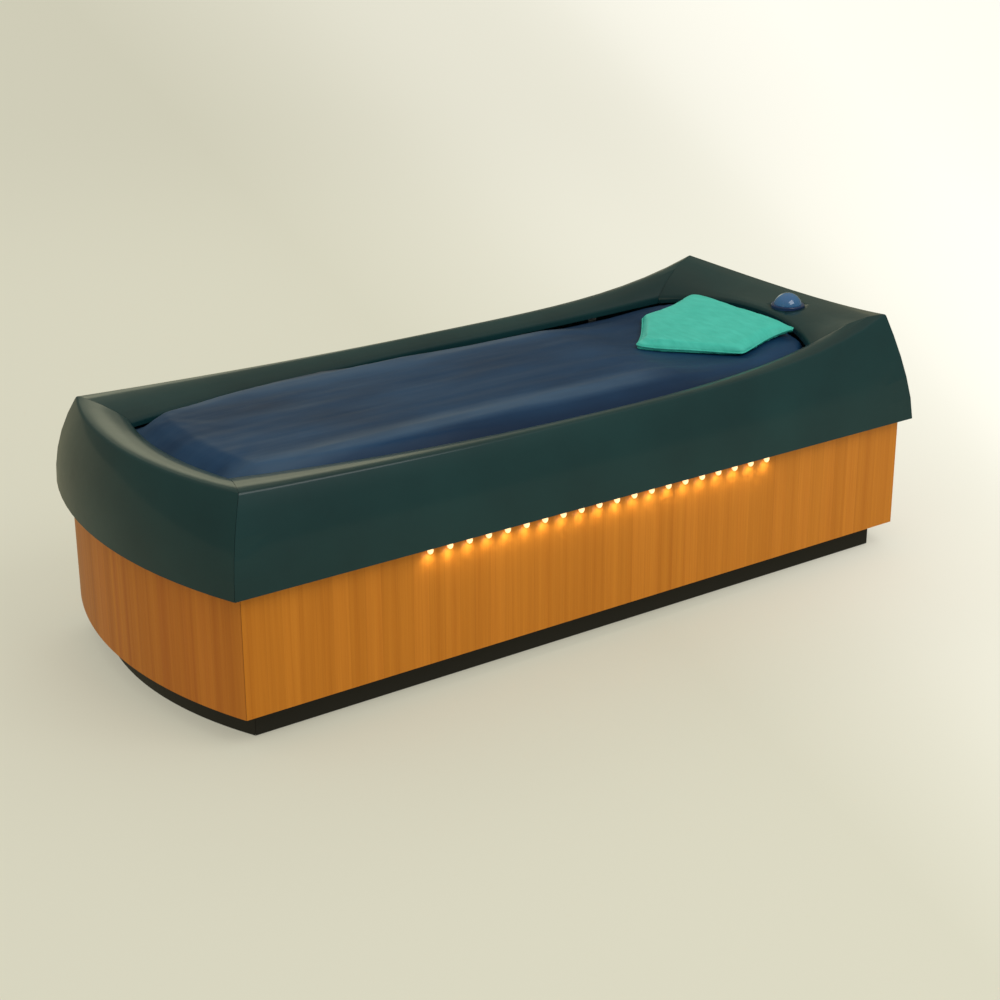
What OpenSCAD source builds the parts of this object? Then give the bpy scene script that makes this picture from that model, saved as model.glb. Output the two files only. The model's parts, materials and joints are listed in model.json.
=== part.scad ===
// Floating bed: a warm-water basin in a battered casing on a bent wooden skirt.
// The sitter lies on a loose membrane, and a lifting platform under it sinks into the water.
// +X runs from the foot end to the head end, +Z is up, and the floor is at z = 0.

/* [Plan] */
// Length of the wooden skirt between its corners
skirt_l = 2100; // [1960:10:2240]
// Width of the wooden skirt
skirt_w = 900; // [900:5:960]
// How far each end bows out past its corners
end_bow = 88; // [60:2:110]
// How far the casing stands proud of the skirt
overhang = 28; // [26:1:40]

/* [Heights] */
// Height of the casing's lower edge
casing_bottom = 390; // [380:2:400]
// Height of the casing's top edge halfway along a long side
side_top_mid = 604; // [600:1:620]
// How much the top edge rises from there to the foot corners
foot_rise = 22; // [15:1:40]
// How much the top edge rises from there to the head corners
head_rise = 86; // [70:1:100]
// How much the head's top edge dips between its corners
head_dip = 49; // [35:1:60]

/* [Casing] */
// Thickness of the moulded casing
casing_wall = 6; // [4:0.5:6]
// How far the faces lean in for each unit of height
batter = 0.22; // [0.18:0.01:0.24]
// Fullness of the foot face, 1 is flat
foot_fullness = 2.1; // [1.6:0.1:2.4]
// Fullness of the head face, 1 is flat
head_fullness = 1.5; // [1.3:0.1:2]
// Width of the return under the casing's lower edge
return_w = 10; // [8:0.5:11]
// Rounding of the outer top edge
edge_r = 6; // [3:0.5:9]
// Rounding of the inner lip
lip_r = 9; // [5:0.5:11]
// Depth of the wall that hangs from the inner lip
lip_depth = 20; // [16:1:22]
// Open seam between two casing pieces
seam = 1; // [0.6:0.1:1.6]

/* [Opening] */
// How far the opening's foot corners stand in from the skirt's
deck_foot = 87; // [80:1:100]
// How far the opening's head corners stand in from the skirt's
deck_head = 235; // [220:1:250]
// Width from the skirt's side to the opening at its foot corners
rim_foot = 195; // [180:1:205]
// The same where the opening is widest
rim_mid = 84; // [82:1:94]
// The same at the opening's head corners
rim_head = 124; // [115:1:135]
// How far the opening bows out at the foot
open_foot_bow = 34; // [20:1:38]
// How far the opening bows out at the head
open_head_bow = 95; // [80:1:98]
// Drop from the top edge to the lip, halfway along a side
lip_drop_mid = 19; // [12:1:24]
// Drop from the top edge to the lip at the foot
lip_drop_foot = 32; // [24:1:38]
// Drop from the top edge to the lip at the head corners
lip_drop_head = 82; // [70:1:92]
// Drop from the top edge to the lip in the middle of the head
lip_drop_deck = 3; // [1:1:8]

/* [Skirt and plinth] */
// Thickness of the wooden panels
skirt_t = 18; // [15:1:18]
// How far the panels reach up behind the casing
skirt_lap = 30; // [20:1:40]
// Height of the recessed plinth
plinth_h = 75; // [65:1:78]
// How far the plinth stands back from the skirt
plinth_inset = 45; // [35:1:48]
// Thickness of the plinth boards
plinth_t = 15; // [12:1:16]
// Clearance of the plinth above the floor
plinth_gap = 4; // [2:0.5:8]

/* [Frame] */
// Side of the square frame tube
tube = 40; // [36:1:44]
// Thickness of the posts and top rails across the bed
post_t = 30; // [26:1:30]
// Wall of the frame tubes
tube_wall = 2.5; // [2:0.5:3]
// Thickness of the battens between the posts and the skirt
batten_t = 14; // [12:1:18]
// Width of the two base rails
base_rail_w = 60; // [58:1:70]
// Height of the underside of the base rails
base_z = 50; // [44:1:56]
// Radius of a levelling pad
pad_r = 28; // [22:1:28]
// Thickness of a levelling pad
pad_h = 12; // [8:1:16]
// Radius of a levelling stem
stem_r = 6; // [5:0.5:8]

/* [Basin] */
// Clearance between the basin and the posts
basin_gap = 10; // [8:1:12]
// How far the basin's foot wall stands in from the skirt's foot corners
basin_foot_gap = 40; // [38:1:46]
// Length of the service bay, from the basin's head wall to the skirt's head corners
service_l = 450; // [444:1:460]
// Thickness of the basin's walls and flange
basin_wall = 6; // [4:0.5:7]
// How far the basin's flange lies under the casing's top edge
flange_drop = 68; // [66:1:74]
// Thickness of the board under the basin
insulation_t = 20; // [15:1:25]

/* [Lying surface] */
// Height of the membrane's flat top over the casing's top edge
float_h = 2; // [-2:1:8]
// Thickness of the membrane
membrane_t = 2; // [1.5:0.5:3]
// Height of the clamp bars
clamp_h = 6; // [4:1:8]
// Thickness of the head cushion
cushion_t = 25; // [18:1:32]
// Half width of the head cushion
cushion_half = 222; // [205:1:226]

/* [Lift] */
// Height of a bellows folded flat, the rest is the platform's stroke
bellows_flat = 92; // [92:2:140]
// How far the platform board stands in from the opening's foot corners
platform_gap = 45; // [40:1:65]
// Radius of the air bellows
bellows_r = 125; // [110:1:130]
// Number of folds in a bellows
bellows_folds = 7; // [5:1:8]
// Running clearance of the guide shoes
guide_clear = 0.6; // [0.4:0.1:1]

/* [Control] */
// Radius of the push dome
dome_r = 40; // [34:1:42]
// Height of the push dome
dome_h = 30; // [24:1:34]
// Radius of the collar round the dome
collar_r = 48; // [46:1:52]
// Travel of the push dome
dome_travel = 5; // [3:0.5:6]
// Where the control sits across the head deck, 0 is its outer edge
control_share = 0.56; // [0.5:0.01:0.58]
// Where the control sits along the head deck, 0 is the middle
control_side = -0.19; // [-0.25:0.01:0.25]

/* [Lights] */
// Number of lamps along each side
lamp_count = 20; // [12:1:22]
// Distance between lamps
lamp_pitch = 57; // [50:1:60]
// Radius of a lamp's lens
lamp_r = 5; // [4:0.5:6]

/* [Hidden] */

// Where the corners and edges of the casing and of its opening lie
open_foot_x = skirt_l / 2 - deck_foot;
open_head_x = skirt_l / 2 - deck_head;
open_foot_half = skirt_w / 2 - rim_foot;
open_mid_half = skirt_w / 2 - rim_mid;
open_head_half = skirt_w / 2 - rim_head;
edge_half_l = skirt_l / 2 + overhang;
edge_half_w = skirt_w / 2 + overhang;
foot_z = side_top_mid + foot_rise;
head_z = side_top_mid + head_rise;
deck_mid_z = head_z - head_dip;
foot_top_x = edge_half_l - edge_inset(foot_z);
head_top_x = edge_half_l - edge_inset(head_z);
wide_x = 100;
opening_taper = 2.2;
mid_lip_z = side_top_mid - lip_drop_mid;
foot_lip_z = foot_z - lip_drop_foot;
head_lip_z = head_z - lip_drop_head;
deck_lip_z = deck_mid_z - lip_drop_deck;
deck_crown = 0.25;
side_steps = 24;
end_steps = 16;

// Levels and lines that the pieces share
base_tube_z = base_z + tube;
cross_z = base_tube_z + tube;
basin_low = cross_z + insulation_t;
basin_floor = basin_low + basin_wall;
flange_z = side_top_mid - flange_drop;
plateau_z = side_top_mid + float_h;
flange_low = flange_z - basin_wall;
rail_low = flange_low - tube;
post_out = skirt_w / 2 - skirt_t - batten_t;
post_in = post_out - post_t;
basin_half = post_in - basin_gap - basin_wall;
basin_foot_x = skirt_l / 2 - basin_foot_gap;
basin_head_x = skirt_l / 2 - service_l;
end_post_x = skirt_l / 2 - 65;
plinth_x = skirt_l / 2 - plinth_inset;
plinth_half = skirt_w / 2 - plinth_inset;
base_rail_y = plinth_half - plinth_t - base_rail_w / 2;
shelf_rail_x = basin_head_x + basin_wall + tube / 2 + 2;
bay = (end_post_x + shelf_rail_x) / 3;
post_x = [-end_post_x, bay - end_post_x, 2 * bay - end_post_x, shelf_rail_x, end_post_x];
skirt_top = casing_bottom + skirt_lap;
flange_out = post_in + 20;
clamp_in = open_mid_half + 22;
clamp_out = flange_out - 2;
foot_clamp_x = open_foot_x + open_foot_bow + 22;
foot_edge_x = foot_clamp_x + 22;
head_clamp_x = open_head_x + open_head_bow + 22;
head_edge_x = head_clamp_x + 20;
rim_sink = 24;
clamp_low = flange_z + membrane_t;
soft_gap = 0.5;
fit = 0.3;
join = 0.1;

// Hollow of the lying surface before the head, and the rise under the head
hollow_x = basin_head_x - 270;
hollow_l = 200;
hollow_depth = 26;
pillow_x = hollow_x + 310;
pillow_l = 230;
pillow_rise = 39;

// Head cushion, a five-sided pad that points to the foot
cushion_head_x = open_head_x + 46;
cushion_tip_x = cushion_head_x - 393;
cushion_steps = 8;
cushion_shoulder = 4;
cushion_tip_half = 8;
cushion_draw = 4;

function lerp(a, b, t) = a + (b - a) * t;
function smooth(t) = let (c = max(0, min(1, t))) c * c * (3 - 2 * c);
function reverse(list) = [for (i = [len(list) - 1:-1:0]) list[i]];
function bow_x(y, half, bow) = let (r = (half * half + bow * bow) / (2 * bow)) sqrt(r * r - y * y)
    - (r - bow);
function bow_r(half, bow) = (half * half + bow * bow) / (2 * bow);
function edge_inset(z) = batter * (z - casing_bottom);

// How far a mitre between a side board and a bowed end runs along the bed for each unit across it
function mitre(half) = let (a = asin(half / bow_r(half, end_bow))) (sin(a) - 1) / cos(a);

// Height of the casing's top edge along a long side
function side_top(x) = x < 0
    ? side_top_mid + foot_rise * pow(-x / foot_top_x, 2)
    : side_top_mid + head_rise * pow(x / head_top_x, 4);

// Half width of the opening and height of its lip along a long side
function open_half(x) = x < wide_x
    ? lerp(open_mid_half, open_foot_half, pow((wide_x - x) / (wide_x + open_foot_x), opening_taper))
    : lerp(open_mid_half, open_head_half, pow((x - wide_x) / (open_head_x - wide_x), 2));
function side_lip(x) = x < wide_x
    ? lerp(mid_lip_z, foot_lip_z, pow((wide_x - x) / (wide_x + open_foot_x), 2))
    : lerp(mid_lip_z, head_lip_z, pow((x - wide_x) / (open_head_x - wide_x), 2));
function deck_lip(u) = lerp(deck_lip_z, head_lip_z, u * u);

// One skin of the casing from the return under its edge, up the face, over the rim and down the lip
function face_point(low, top, full, s) = [
    lerp(low.x, top.x, pow(s, full)), lerp(low.y, top.y, pow(s, full)), lerp(low.z, top.z, s)
];
function band_point(top, mid, lip, u) = (1 - u) * (1 - u) * top + 2 * u * (1 - u) * mid + u * u * lip;
function band_mid(top, lip, crown) = [lerp(top.x, lip.x, crown), lerp(top.y, lip.y, crown), top.z];
function skin(ret, low, top, lip, full, crown, wall_end) = let (
    mid = band_mid(top, lip, crown),
    face_end = face_point(low, top, full, 1 - edge_r / (top.z - low.z)),
    band_start = band_point(top, mid, lip, edge_r / (2 * norm(mid - top))),
    band_end = band_point(top, mid, lip, 1 - lip_r / (2 * norm(lip - mid))),
    wall = [lip.x, lip.y, lip.z - lip_r]
) concat(
    [ret, low],
    [for (k = [1:4]) face_point(low, top, full, k / 5)],
    [face_end, (face_end + 2 * top + band_start) / 4, band_start],
    [for (k = [1:3]) band_point(top, mid, lip, k / 4)],
    [band_end, (band_end + 2 * lip + wall) / 4, wall, [lip.x, lip.y, wall_end]]
);

// Corner points of a section through a long side, and its skin, off inside the outer face
function side_skin(t, off) = let (
    xt = lerp(-foot_top_x, head_top_x, t),
    xi = lerp(-open_foot_x, open_head_x, t),
    along = 2 * t - 1
) skin(
    [along * (edge_half_l - return_w), edge_half_w - return_w, casing_bottom + off],
    [along * (edge_half_l - off), edge_half_w - off, casing_bottom + off],
    [lerp(off - foot_top_x, head_top_x - off, t), edge_half_w - edge_inset(side_top(xt)) - off,
        side_top(xt) - off],
    [lerp(-open_foot_x - off, open_head_x + off, t), open_half(xi) + off, side_lip(xi) - off],
    lerp(foot_fullness, head_fullness, t), 0.5, side_lip(xi) - lip_depth
);

// The same for an end, drawn at the head side, u runs from -1 to 1 across it
function end_low(u, off, z) = let (y = u * (edge_half_w - off))
    [edge_half_l - off + bow_x(y, edge_half_w - off, end_bow), y, z];
function end_top(u, off, head) = let (
    z = head ? lerp(deck_mid_z, head_z, u * u) : foot_z,
    half = edge_half_w - edge_inset(head ? head_z : foot_z) - off,
    y = u * half
) [edge_half_l - edge_inset(z) - off + bow_x(y, half, end_bow), y, z - off];
function end_lip(u, off, head) = let (
    half = (head ? open_head_half : open_foot_half) + off,
    y = u * half
) [
    (head ? open_head_x : open_foot_x) + off + bow_x(y, half, head ? open_head_bow : open_foot_bow),
    y, (head ? deck_lip(u) : foot_lip_z) - off
];
function end_crown(u, head) = head ? 0.5 + deck_crown * (1 - u * u) : 0.5;
function end_skin(u, off, head) = skin(
    end_low(u, return_w, casing_bottom + off), end_low(u, off, casing_bottom + off),
    end_top(u, off, head), end_lip(u, off, head),
    head ? head_fullness : foot_fullness, end_crown(u, head), end_lip(u, 0, head).z - lip_depth
);

// Inner face of the casing, where brackets meet it
function side_face_y(x, z) = let (
    t = (x + edge_half_l) / (2 * edge_half_l),
    s = (z - casing_bottom - casing_wall) / (side_top(x) - casing_bottom - 2 * casing_wall)
) edge_half_w - casing_wall - edge_inset(side_top(x)) * pow(s, lerp(foot_fullness, head_fullness, t));
function end_face_at(u, z, head) = let (
    low = end_low(u, casing_wall, casing_bottom + casing_wall),
    top = end_top(u, casing_wall, head),
    share = pow((z - low.z) / (top.z - low.z), head ? head_fullness : foot_fullness)
) lerp(low, top, share);
function end_face_x(y, z, head) = let (u = y / edge_half_w)
    end_face_at(u * y / end_face_at(u, z, head).y, z, head).x;
function rim_under(x, y) = let (
    outer = edge_half_w - edge_inset(side_top(x)) - casing_wall,
    u = (outer - y) / (outer - open_half(x) - casing_wall)
) side_top(x) - casing_wall - u * u * (side_top(x) - side_lip(x));

// Height of the membrane's upper face
function plateau(x) = plateau_z - hollow_depth * smooth((x - hollow_x) / hollow_l)
    + pillow_rise * smooth((x - pillow_x) / pillow_l);
function roll_w(x) = lerp(50, 130, smooth((x + open_foot_x - 513) / 550))
    - 20 * smooth((x - hollow_x - 120) / 200);
function membrane_top(x, y) = let (
    side_gap = open_half(x) - abs(y),
    foot_gap = x + open_foot_x + bow_x(y, open_foot_half, open_foot_bow),
    head_gap = open_head_x + bow_x(y, open_head_half, open_head_bow) - x,
    gap = min(side_gap, foot_gap, head_gap),
    rim = lerp(side_lip(x), deck_lip(y / open_head_half), smooth((x - open_head_x + 215) / 215))
        - rim_sink,
    rise = smooth(side_gap / roll_w(x)) * smooth(foot_gap / 90) * smooth(head_gap / 120)
) gap >= 0 ? lerp(rim, plateau(x), rise) : lerp(rim, clamp_low, smooth(-gap / 20));

// Grid of the membrane, its lines across follow the opening and its foot rows follow the foot lip
membrane_shares = [0.35, 0.6, 0.75, 0.87, 0.95];
function membrane_half(x) = concat(
    open_half(x) * membrane_shares, [open_half(x) + 13, clamp_in, clamp_out]
);
function membrane_row(x) = let (h = membrane_half(x)) concat(-reverse(h), [0], h);
foot_rows_x = 223 - open_foot_x;
function row_shift(x, y) = x < -foot_clamp_x ? 0
    : smooth((foot_rows_x - x) / 170) * (open_foot_bow - max(0, bow_x(y, open_foot_half, open_foot_bow)));
cushion_xs = [for (k = [0:cushion_steps]) lerp(cushion_tip_x, cushion_head_x, k / cushion_steps)];
membrane_xs = concat(
    [-foot_edge_x, -foot_clamp_x - 0.1],
    [for (d = [-14, 0, 12, 30, 55, 90, 140]) d - open_foot_x - open_foot_bow],
    [for (k = [0:8]) lerp(foot_rows_x, hollow_x, k / 9)],
    [hollow_x, (hollow_x + cushion_tip_x) / 2], cushion_xs,
    [for (d = [-25, -6, 14]) open_head_x + open_head_bow + d],
    [head_clamp_x, head_edge_x]
);
function membrane_ring(x, drop) = [for (y = membrane_row(x)) let (
    xs = x + row_shift(x, y)
) [xs, y, membrane_top(xs, y) - drop]];

// Closed solid through equal rings of points, each ring an outer run and an inner run back.
// Both runs are cut into triangles the same way, so a thin wall keeps its thickness.
module loft(rings) {
    n = len(rings[0]);
    last = (len(rings) - 1) * n;
    polyhedron(
        points = [for (r = rings) each r],
        faces = concat(
            [for (i = [0:len(rings) - 2], k = [0:n - 1], h = [0, 1]) let (
                a = i * n + k, b = i * n + (k + 1) % n
            ) k < n / 2
                ? (h == 0 ? [a, b, b + n] : [a, b + n, a + n])
                : (h == 0 ? [a, b, a + n] : [b, b + n, a + n])],
            [for (k = [0:n / 2 - 2], h = [0, 1]) h == 0
                ? [k, n - 1 - k, n - 2 - k]
                : [k, n - 2 - k, k + 1]],
            [for (k = [0:n / 2 - 2], h = [0, 1]) h == 0
                ? [last + k, last + k + 1, last + n - 2 - k]
                : [last + k, last + n - 2 - k, last + n - 1 - k]]
        )
    );
}

module both_sides() {
    children();
    mirror([0, 1, 0]) children();
}

module bar(x0, x1, y0, y1, z0, z1) {
    translate([x0, y0, z0]) cube([x1 - x0, y1 - y0, z1 - z0]);
}

// Rectangular tube along X, open at both ends
module tube_x(x0, x1, y0, y1, z0, z1) {
    difference() {
        bar(x0, x1, y0, y1, z0, z1);
        bar(x0 - 1, x1 + 1, y0 + tube_wall, y1 - tube_wall, z0 + tube_wall, z1 - tube_wall);
    }
}

module tube_y(x0, x1, y0, y1, z0, z1) {
    difference() {
        bar(x0, x1, y0, y1, z0, z1);
        bar(x0 + tube_wall, x1 - tube_wall, y0 - 1, y1 + 1, z0 + tube_wall, z1 - tube_wall);
    }
}

module tube_z(x0, x1, y0, y1, z0, z1) {
    difference() {
        bar(x0, x1, y0, y1, z0, z1);
        bar(x0 + tube_wall, x1 - tube_wall, y0 + tube_wall, y1 - tube_wall, z0 - 1, z1 + 1);
    }
}

// Straight board on the far side, mitred at both ends
module side_board(corner_x, half, t, z0, z1) {
    back = t * mitre(half);
    s = seam / 2;
    translate([0, 0, z0]) linear_extrude(z1 - z0) polygon([
        [s - corner_x, half], [corner_x - s, half],
        [corner_x - s + back, half - t], [s - corner_x - back, half - t]
    ]);
}

// Bent board at the head end, mitred at both ends
module end_board(corner_x, half, t, z0, z1) {
    r = bow_r(half, end_bow);
    deep = 120;
    back = deep * mitre(half);
    s = seam / 2;
    intersection() {
        translate([corner_x + end_bow - r, 0, z0]) difference() {
            cylinder(r = r, h = z1 - z0, $fn = 360);
            translate([0, 0, -1]) cylinder(r = r - t, h = z1 - z0 + 2, $fn = 360);
        }
        translate([0, 0, z0 - 1]) linear_extrude(z1 - z0 + 2) polygon([
            [corner_x, half - s], [corner_x + back, half - deep - s],
            [corner_x + back, deep + s - half], [corner_x, s - half],
            [corner_x + 2 * end_bow, s - half], [corner_x + 2 * end_bow, half - s]
        ]);
    }
}

// Frame and feet
foot_pos = [for (x = [-end_post_x + 100, 0, end_post_x - 100], y = [-base_rail_y, base_rail_y]) [x, y]];
nut_h = 8;
stem_top = base_z + tube - tube_wall - 6;

module levelling_pads() {
    color("dimgray") for (p = foot_pos) translate([p.x, p.y, 0]) difference() {
        rotate_extrude($fn = 48) polygon([
            [0, 0], [pad_r, 0], [pad_r, pad_h / 2], [pad_r / 2, pad_h], [0, pad_h]
        ]);
        translate([0, 0, pad_h / 3]) cylinder(r = stem_r + join, h = pad_h, $fn = 32);
    }
}

module levelling_stems() {
    color("silver") for (p = foot_pos) translate([p.x, p.y, pad_h / 3])
        cylinder(r = stem_r, h = stem_top - pad_h / 3, $fn = 32);
}

module lock_nuts() {
    color("silver") for (p = foot_pos) translate([p.x, p.y, base_z - nut_h]) difference() {
        cylinder(r = stem_r * 1.9, h = nut_h, $fn = 6);
        translate([0, 0, -1]) cylinder(r = stem_r + join, h = nut_h + 2, $fn = 32);
    }
}

base_rail_end = end_post_x + 5;

module base_rails() {
    color("slategray") both_sides() difference() {
        tube_x(-base_rail_end, base_rail_end, base_rail_y - base_rail_w / 2,
            base_rail_y + base_rail_w / 2, base_z, base_tube_z);
        for (p = foot_pos) translate([p.x, base_rail_y, base_z - 1])
            cylinder(r = stem_r + fit, h = tube_wall + 2, $fn = 32);
    }
}

module base_crossmembers() {
    color("slategray") for (x = post_x)
        tube_y(x - tube / 2, x + tube / 2, -post_out, post_out, base_tube_z, cross_z);
}

module frame_posts() {
    color("slategray") for (x = post_x) both_sides()
        tube_z(x - tube / 2, x + tube / 2, post_in, post_out, cross_z, rail_low);
}

top_rail_end = end_post_x + 60;

module top_side_rails() {
    color("slategray") both_sides()
        tube_x(-top_rail_end, top_rail_end, post_in, post_out, rail_low, flange_low);
}

foot_rail_out = foot_edge_x + 4;
head_rail_in = head_edge_x - 20;
head_rail_out = head_rail_in + tube;

module top_cross_rails() {
    color("slategray") {
        tube_y(-foot_rail_out, -basin_foot_x - basin_wall - 2, -post_in, post_in, rail_low, flange_low);
        tube_y(shelf_rail_x - tube / 2, shelf_rail_x + tube / 2, -post_in, post_in, rail_low, flange_low);
        tube_y(head_rail_in, head_rail_out, -post_in, post_in, rail_low, flange_low);
    }
}

// Plinth
gland_r = 9;
gland_angle = 9;

module gland_place() {
    r = bow_r(plinth_half, end_bow);
    translate([plinth_x + end_bow - r, 0, plinth_h / 2]) rotate([0, 0, gland_angle])
        translate([r, 0, 0]) rotate([0, 90, 0]) children();
}

module plinth_far() {
    color("black") side_board(plinth_x, plinth_half, plinth_t, plinth_gap, plinth_h);
}

module plinth_near() {
    mirror([0, 1, 0]) plinth_far();
}

module plinth_foot() {
    color("black") mirror([1, 0, 0]) end_board(plinth_x, plinth_half, plinth_t, plinth_gap, plinth_h);
}

module plinth_head() {
    color("black") difference() {
        end_board(plinth_x, plinth_half, plinth_t, plinth_gap, plinth_h);
        gland_place() translate([0, 0, -2 * plinth_t])
            cylinder(r = gland_r + fit, h = 3 * plinth_t, $fn = 32);
    }
}

module mains_gland() {
    color("black") gland_place() difference() {
        union() {
            translate([0, 0, -plinth_t - 14]) cylinder(r = gland_r, h = plinth_t + 14 + fit, $fn = 32);
            translate([0, 0, fit]) cylinder(r = gland_r * 1.6, h = 4, $fn = 32);
            translate([0, 0, 4 + fit]) cylinder(r = gland_r * 1.1, h = 9, $fn = 32);
        }
        translate([0, 0, -60]) cylinder(r = gland_r / 2, h = 120, $fn = 32);
    }
}

// Wooden skirt
module skirt_far() {
    color("peru") side_board(skirt_l / 2, skirt_w / 2, skirt_t, plinth_h, skirt_top);
}

module skirt_near() {
    mirror([0, 1, 0]) skirt_far();
}

module skirt_head() {
    color("peru") end_board(skirt_l / 2, skirt_w / 2, skirt_t, plinth_h, skirt_top);
}

module skirt_foot() {
    mirror([1, 0, 0]) skirt_head();
}

batten_h = 36;

module skirt_battens() {
    color("burlywood") both_sides() for (z = [base_tube_z, skirt_top - batten_h - 6])
        bar(-end_post_x - tube / 2, end_post_x + tube / 2, post_out, skirt_w / 2 - skirt_t, z,
            z + batten_h);
}

former_t = 18;

// Plywood that carries the bent panel off the end posts
module skirt_former() {
    r = bow_r(skirt_w / 2, end_bow);
    face = end_post_x + tube / 2;
    difference() {
        intersection() {
            translate([skirt_l / 2 + end_bow - r, 0, 0])
                cylinder(r = r - skirt_t - fit, h = former_t, $fn = 360);
            bar(face, skirt_l, 3 - post_out, post_out - 3, -1, former_t + 1);
        }
        bar(face - 1, face + 32, -post_in, post_in, -1, former_t + 1);
    }
}

// Plywood that carries the bent plinth off the base rails
module plinth_former() {
    r = bow_r(plinth_half, end_bow);
    inner = base_rail_y - base_rail_w / 2;
    intersection() {
        translate([plinth_x + end_bow - r, 0, 0])
            cylinder(r = r - plinth_t - fit, h = former_t, $fn = 360);
        bar(base_rail_end - 60, skirt_l, -inner, inner, -1, former_t + 1);
    }
}

module end_formers() {
    color("burlywood") for (m = [0, 1]) mirror([m, 0, 0]) {
        translate([0, 0, base_tube_z + 4]) skirt_former();
        translate([0, 0, skirt_top - former_t - 6]) skirt_former();
        translate([0, 0, plinth_h - former_t]) plinth_former();
    }
}

// Casing
side_gap_t = seam / 4 / edge_half_l;
end_gap_u = seam / 2 / edge_half_w;

module side_casing() {
    loft([for (i = [0:side_steps]) let (t = lerp(side_gap_t, 1 - side_gap_t, i / side_steps))
        concat(side_skin(t, 0), reverse(side_skin(t, casing_wall)))]);
}

module end_casing(head) {
    loft([for (i = [0:end_steps]) let (u = lerp(1 - end_gap_u, end_gap_u - 1, i / end_steps))
        concat(end_skin(u, 0, head), reverse(end_skin(u, casing_wall, head)))]);
}

module casing_far() {
    color("darkslategray") side_casing();
}

module casing_near() {
    mirror([0, 1, 0]) casing_far();
}

module casing_foot() {
    color("darkslategray") mirror([1, 0, 0]) end_casing(false);
}

// Centre of the control on the head deck, and the flat seat cut for its collar
control_point = let (top = end_top(control_side, 0, true), lip = end_lip(control_side, 0, true))
    band_point(top, band_mid(top, lip, end_crown(control_side, true)), lip, control_share);
seat_z = round(control_point.z) - 2;
socket_r = 20;
nut_r = 30;
nut_seat = casing_wall / 2;

control_x = round(control_point.x);
control_y = round(control_point.y);

module at_control() {
    translate([control_x, control_y, seat_z]) children();
}

module casing_head() {
    color("darkslategray") difference() {
        end_casing(true);
        at_control() cylinder(r = collar_r + fit, h = 40, $fn = 64);
        at_control() translate([0, 0, -40]) cylinder(r = socket_r + fit, h = 60, $fn = 48);
        at_control() translate([0, 0, -nut_seat - 40]) cylinder(r = nut_r + fit, h = 40, $fn = 64);
    }
}

bracket_w = 30;
bracket_z = casing_bottom + 55;
prop_t = post_out - flange_out - 1;
end_bracket_gap = 1.2;
end_bracket_y = post_in - 148;

module casing_brackets() {
    color("silver") {
        for (x = post_x) if (abs(x) < end_post_x) both_sides() {
            bar(x - bracket_w / 2, x + bracket_w / 2, post_out, side_face_y(x, bracket_z) - 2 * fit,
                bracket_z - 20, bracket_z);
            bar(x - bracket_w / 2, x + bracket_w / 2, post_out - prop_t, post_out, flange_low,
                min(rim_under(x - bracket_w / 2, post_out),
                    rim_under(x + bracket_w / 2, post_out - prop_t)) - 2 * fit);
        }
        for (y = [-end_bracket_y, 0, end_bracket_y]) {
            mirror([1, 0, 0]) bar(foot_rail_out,
                end_face_x(abs(y) + bracket_w / 2, flange_low, false) - end_bracket_gap,
                y - bracket_w / 2, y + bracket_w / 2, flange_low - 20, flange_low);
            bar(head_rail_out, end_face_x(abs(y) + bracket_w / 2, flange_low, true) - end_bracket_gap,
                y - bracket_w / 2, y + bracket_w / 2, flange_low - 20, flange_low);
        }
    }
}

// Row of lamps under the casing's edge
lamp_x = [for (i = [0:lamp_count - 1]) (i - (lamp_count - 1) / 2) * lamp_pitch];
light_rail_h = 9;
light_rail_out = edge_half_w - return_w - 1;
light_rail_low = casing_bottom - 3;
lamp_y = (skirt_w / 2 + light_rail_out) / 2;

module light_rails() {
    end = lamp_x[lamp_count - 1] + lamp_pitch / 2;
    color("silver") both_sides() difference() {
        bar(-end, end, skirt_w / 2, light_rail_out, light_rail_low, light_rail_low + light_rail_h);
        bar(-end + 4, end - 4, skirt_w / 2 + 3, light_rail_out - 3, light_rail_low - 1,
            light_rail_low + light_rail_h - 4);
    }
}

module lamps() {
    color("lightyellow") both_sides() for (x = lamp_x)
        translate([x, lamp_y, light_rail_low + light_rail_h - 4]) mirror([0, 0, 1])
            rotate_extrude($fn = 32) union() {
            square([lamp_r, 8]);
            intersection() {
                translate([0, 8]) circle(r = lamp_r, $fn = 32);
                square([lamp_r, 8 + lamp_r]);
            }
        }
}

// Basin and the things that pass through its head wall
port_y = 230;
port_z = basin_floor + 66;
port_r = 14;
port_bore = 10;
drain_y = basin_half - 32;
drain_z = basin_floor + 16;
drain_r = 10;
drain_bore = 7;
air_z = basin_floor + 12;
air_r = 7;
air_y = bellows_r + 40;
// Side, height and radius of each pipe through the head wall
wall_ports = [
    [-port_y, port_z, port_r], [port_y, port_z, port_r], [-drain_y, drain_z, drain_r],
    [0, air_z, air_r], [air_y, air_z, air_r]
];

module along_x(x, y, z) {
    translate([x, y, z]) rotate([0, 90, 0]) children();
}

module pipe(length, outer, bore) {
    difference() {
        cylinder(r = outer, h = length, $fn = 48);
        translate([0, 0, -1]) cylinder(r = bore, h = length + 2, $fn = 48);
    }
}

// Quarter bend round the origin, from the X axis to the Y axis
module bend(r, outer, bore) {
    rotate_extrude(angle = 90, $fn = 96) translate([r, 0]) difference() {
        circle(r = outer, $fn = 48);
        circle(r = bore, $fn = 48);
    }
}

// Outer plan of the basin between two heights: its walls stand on its floor sheet
module basin_plan(z0, z1) {
    bar(-basin_foot_x - basin_wall, basin_head_x + basin_wall,
        -basin_half - basin_wall, basin_half + basin_wall, z0, z1);
}

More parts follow.
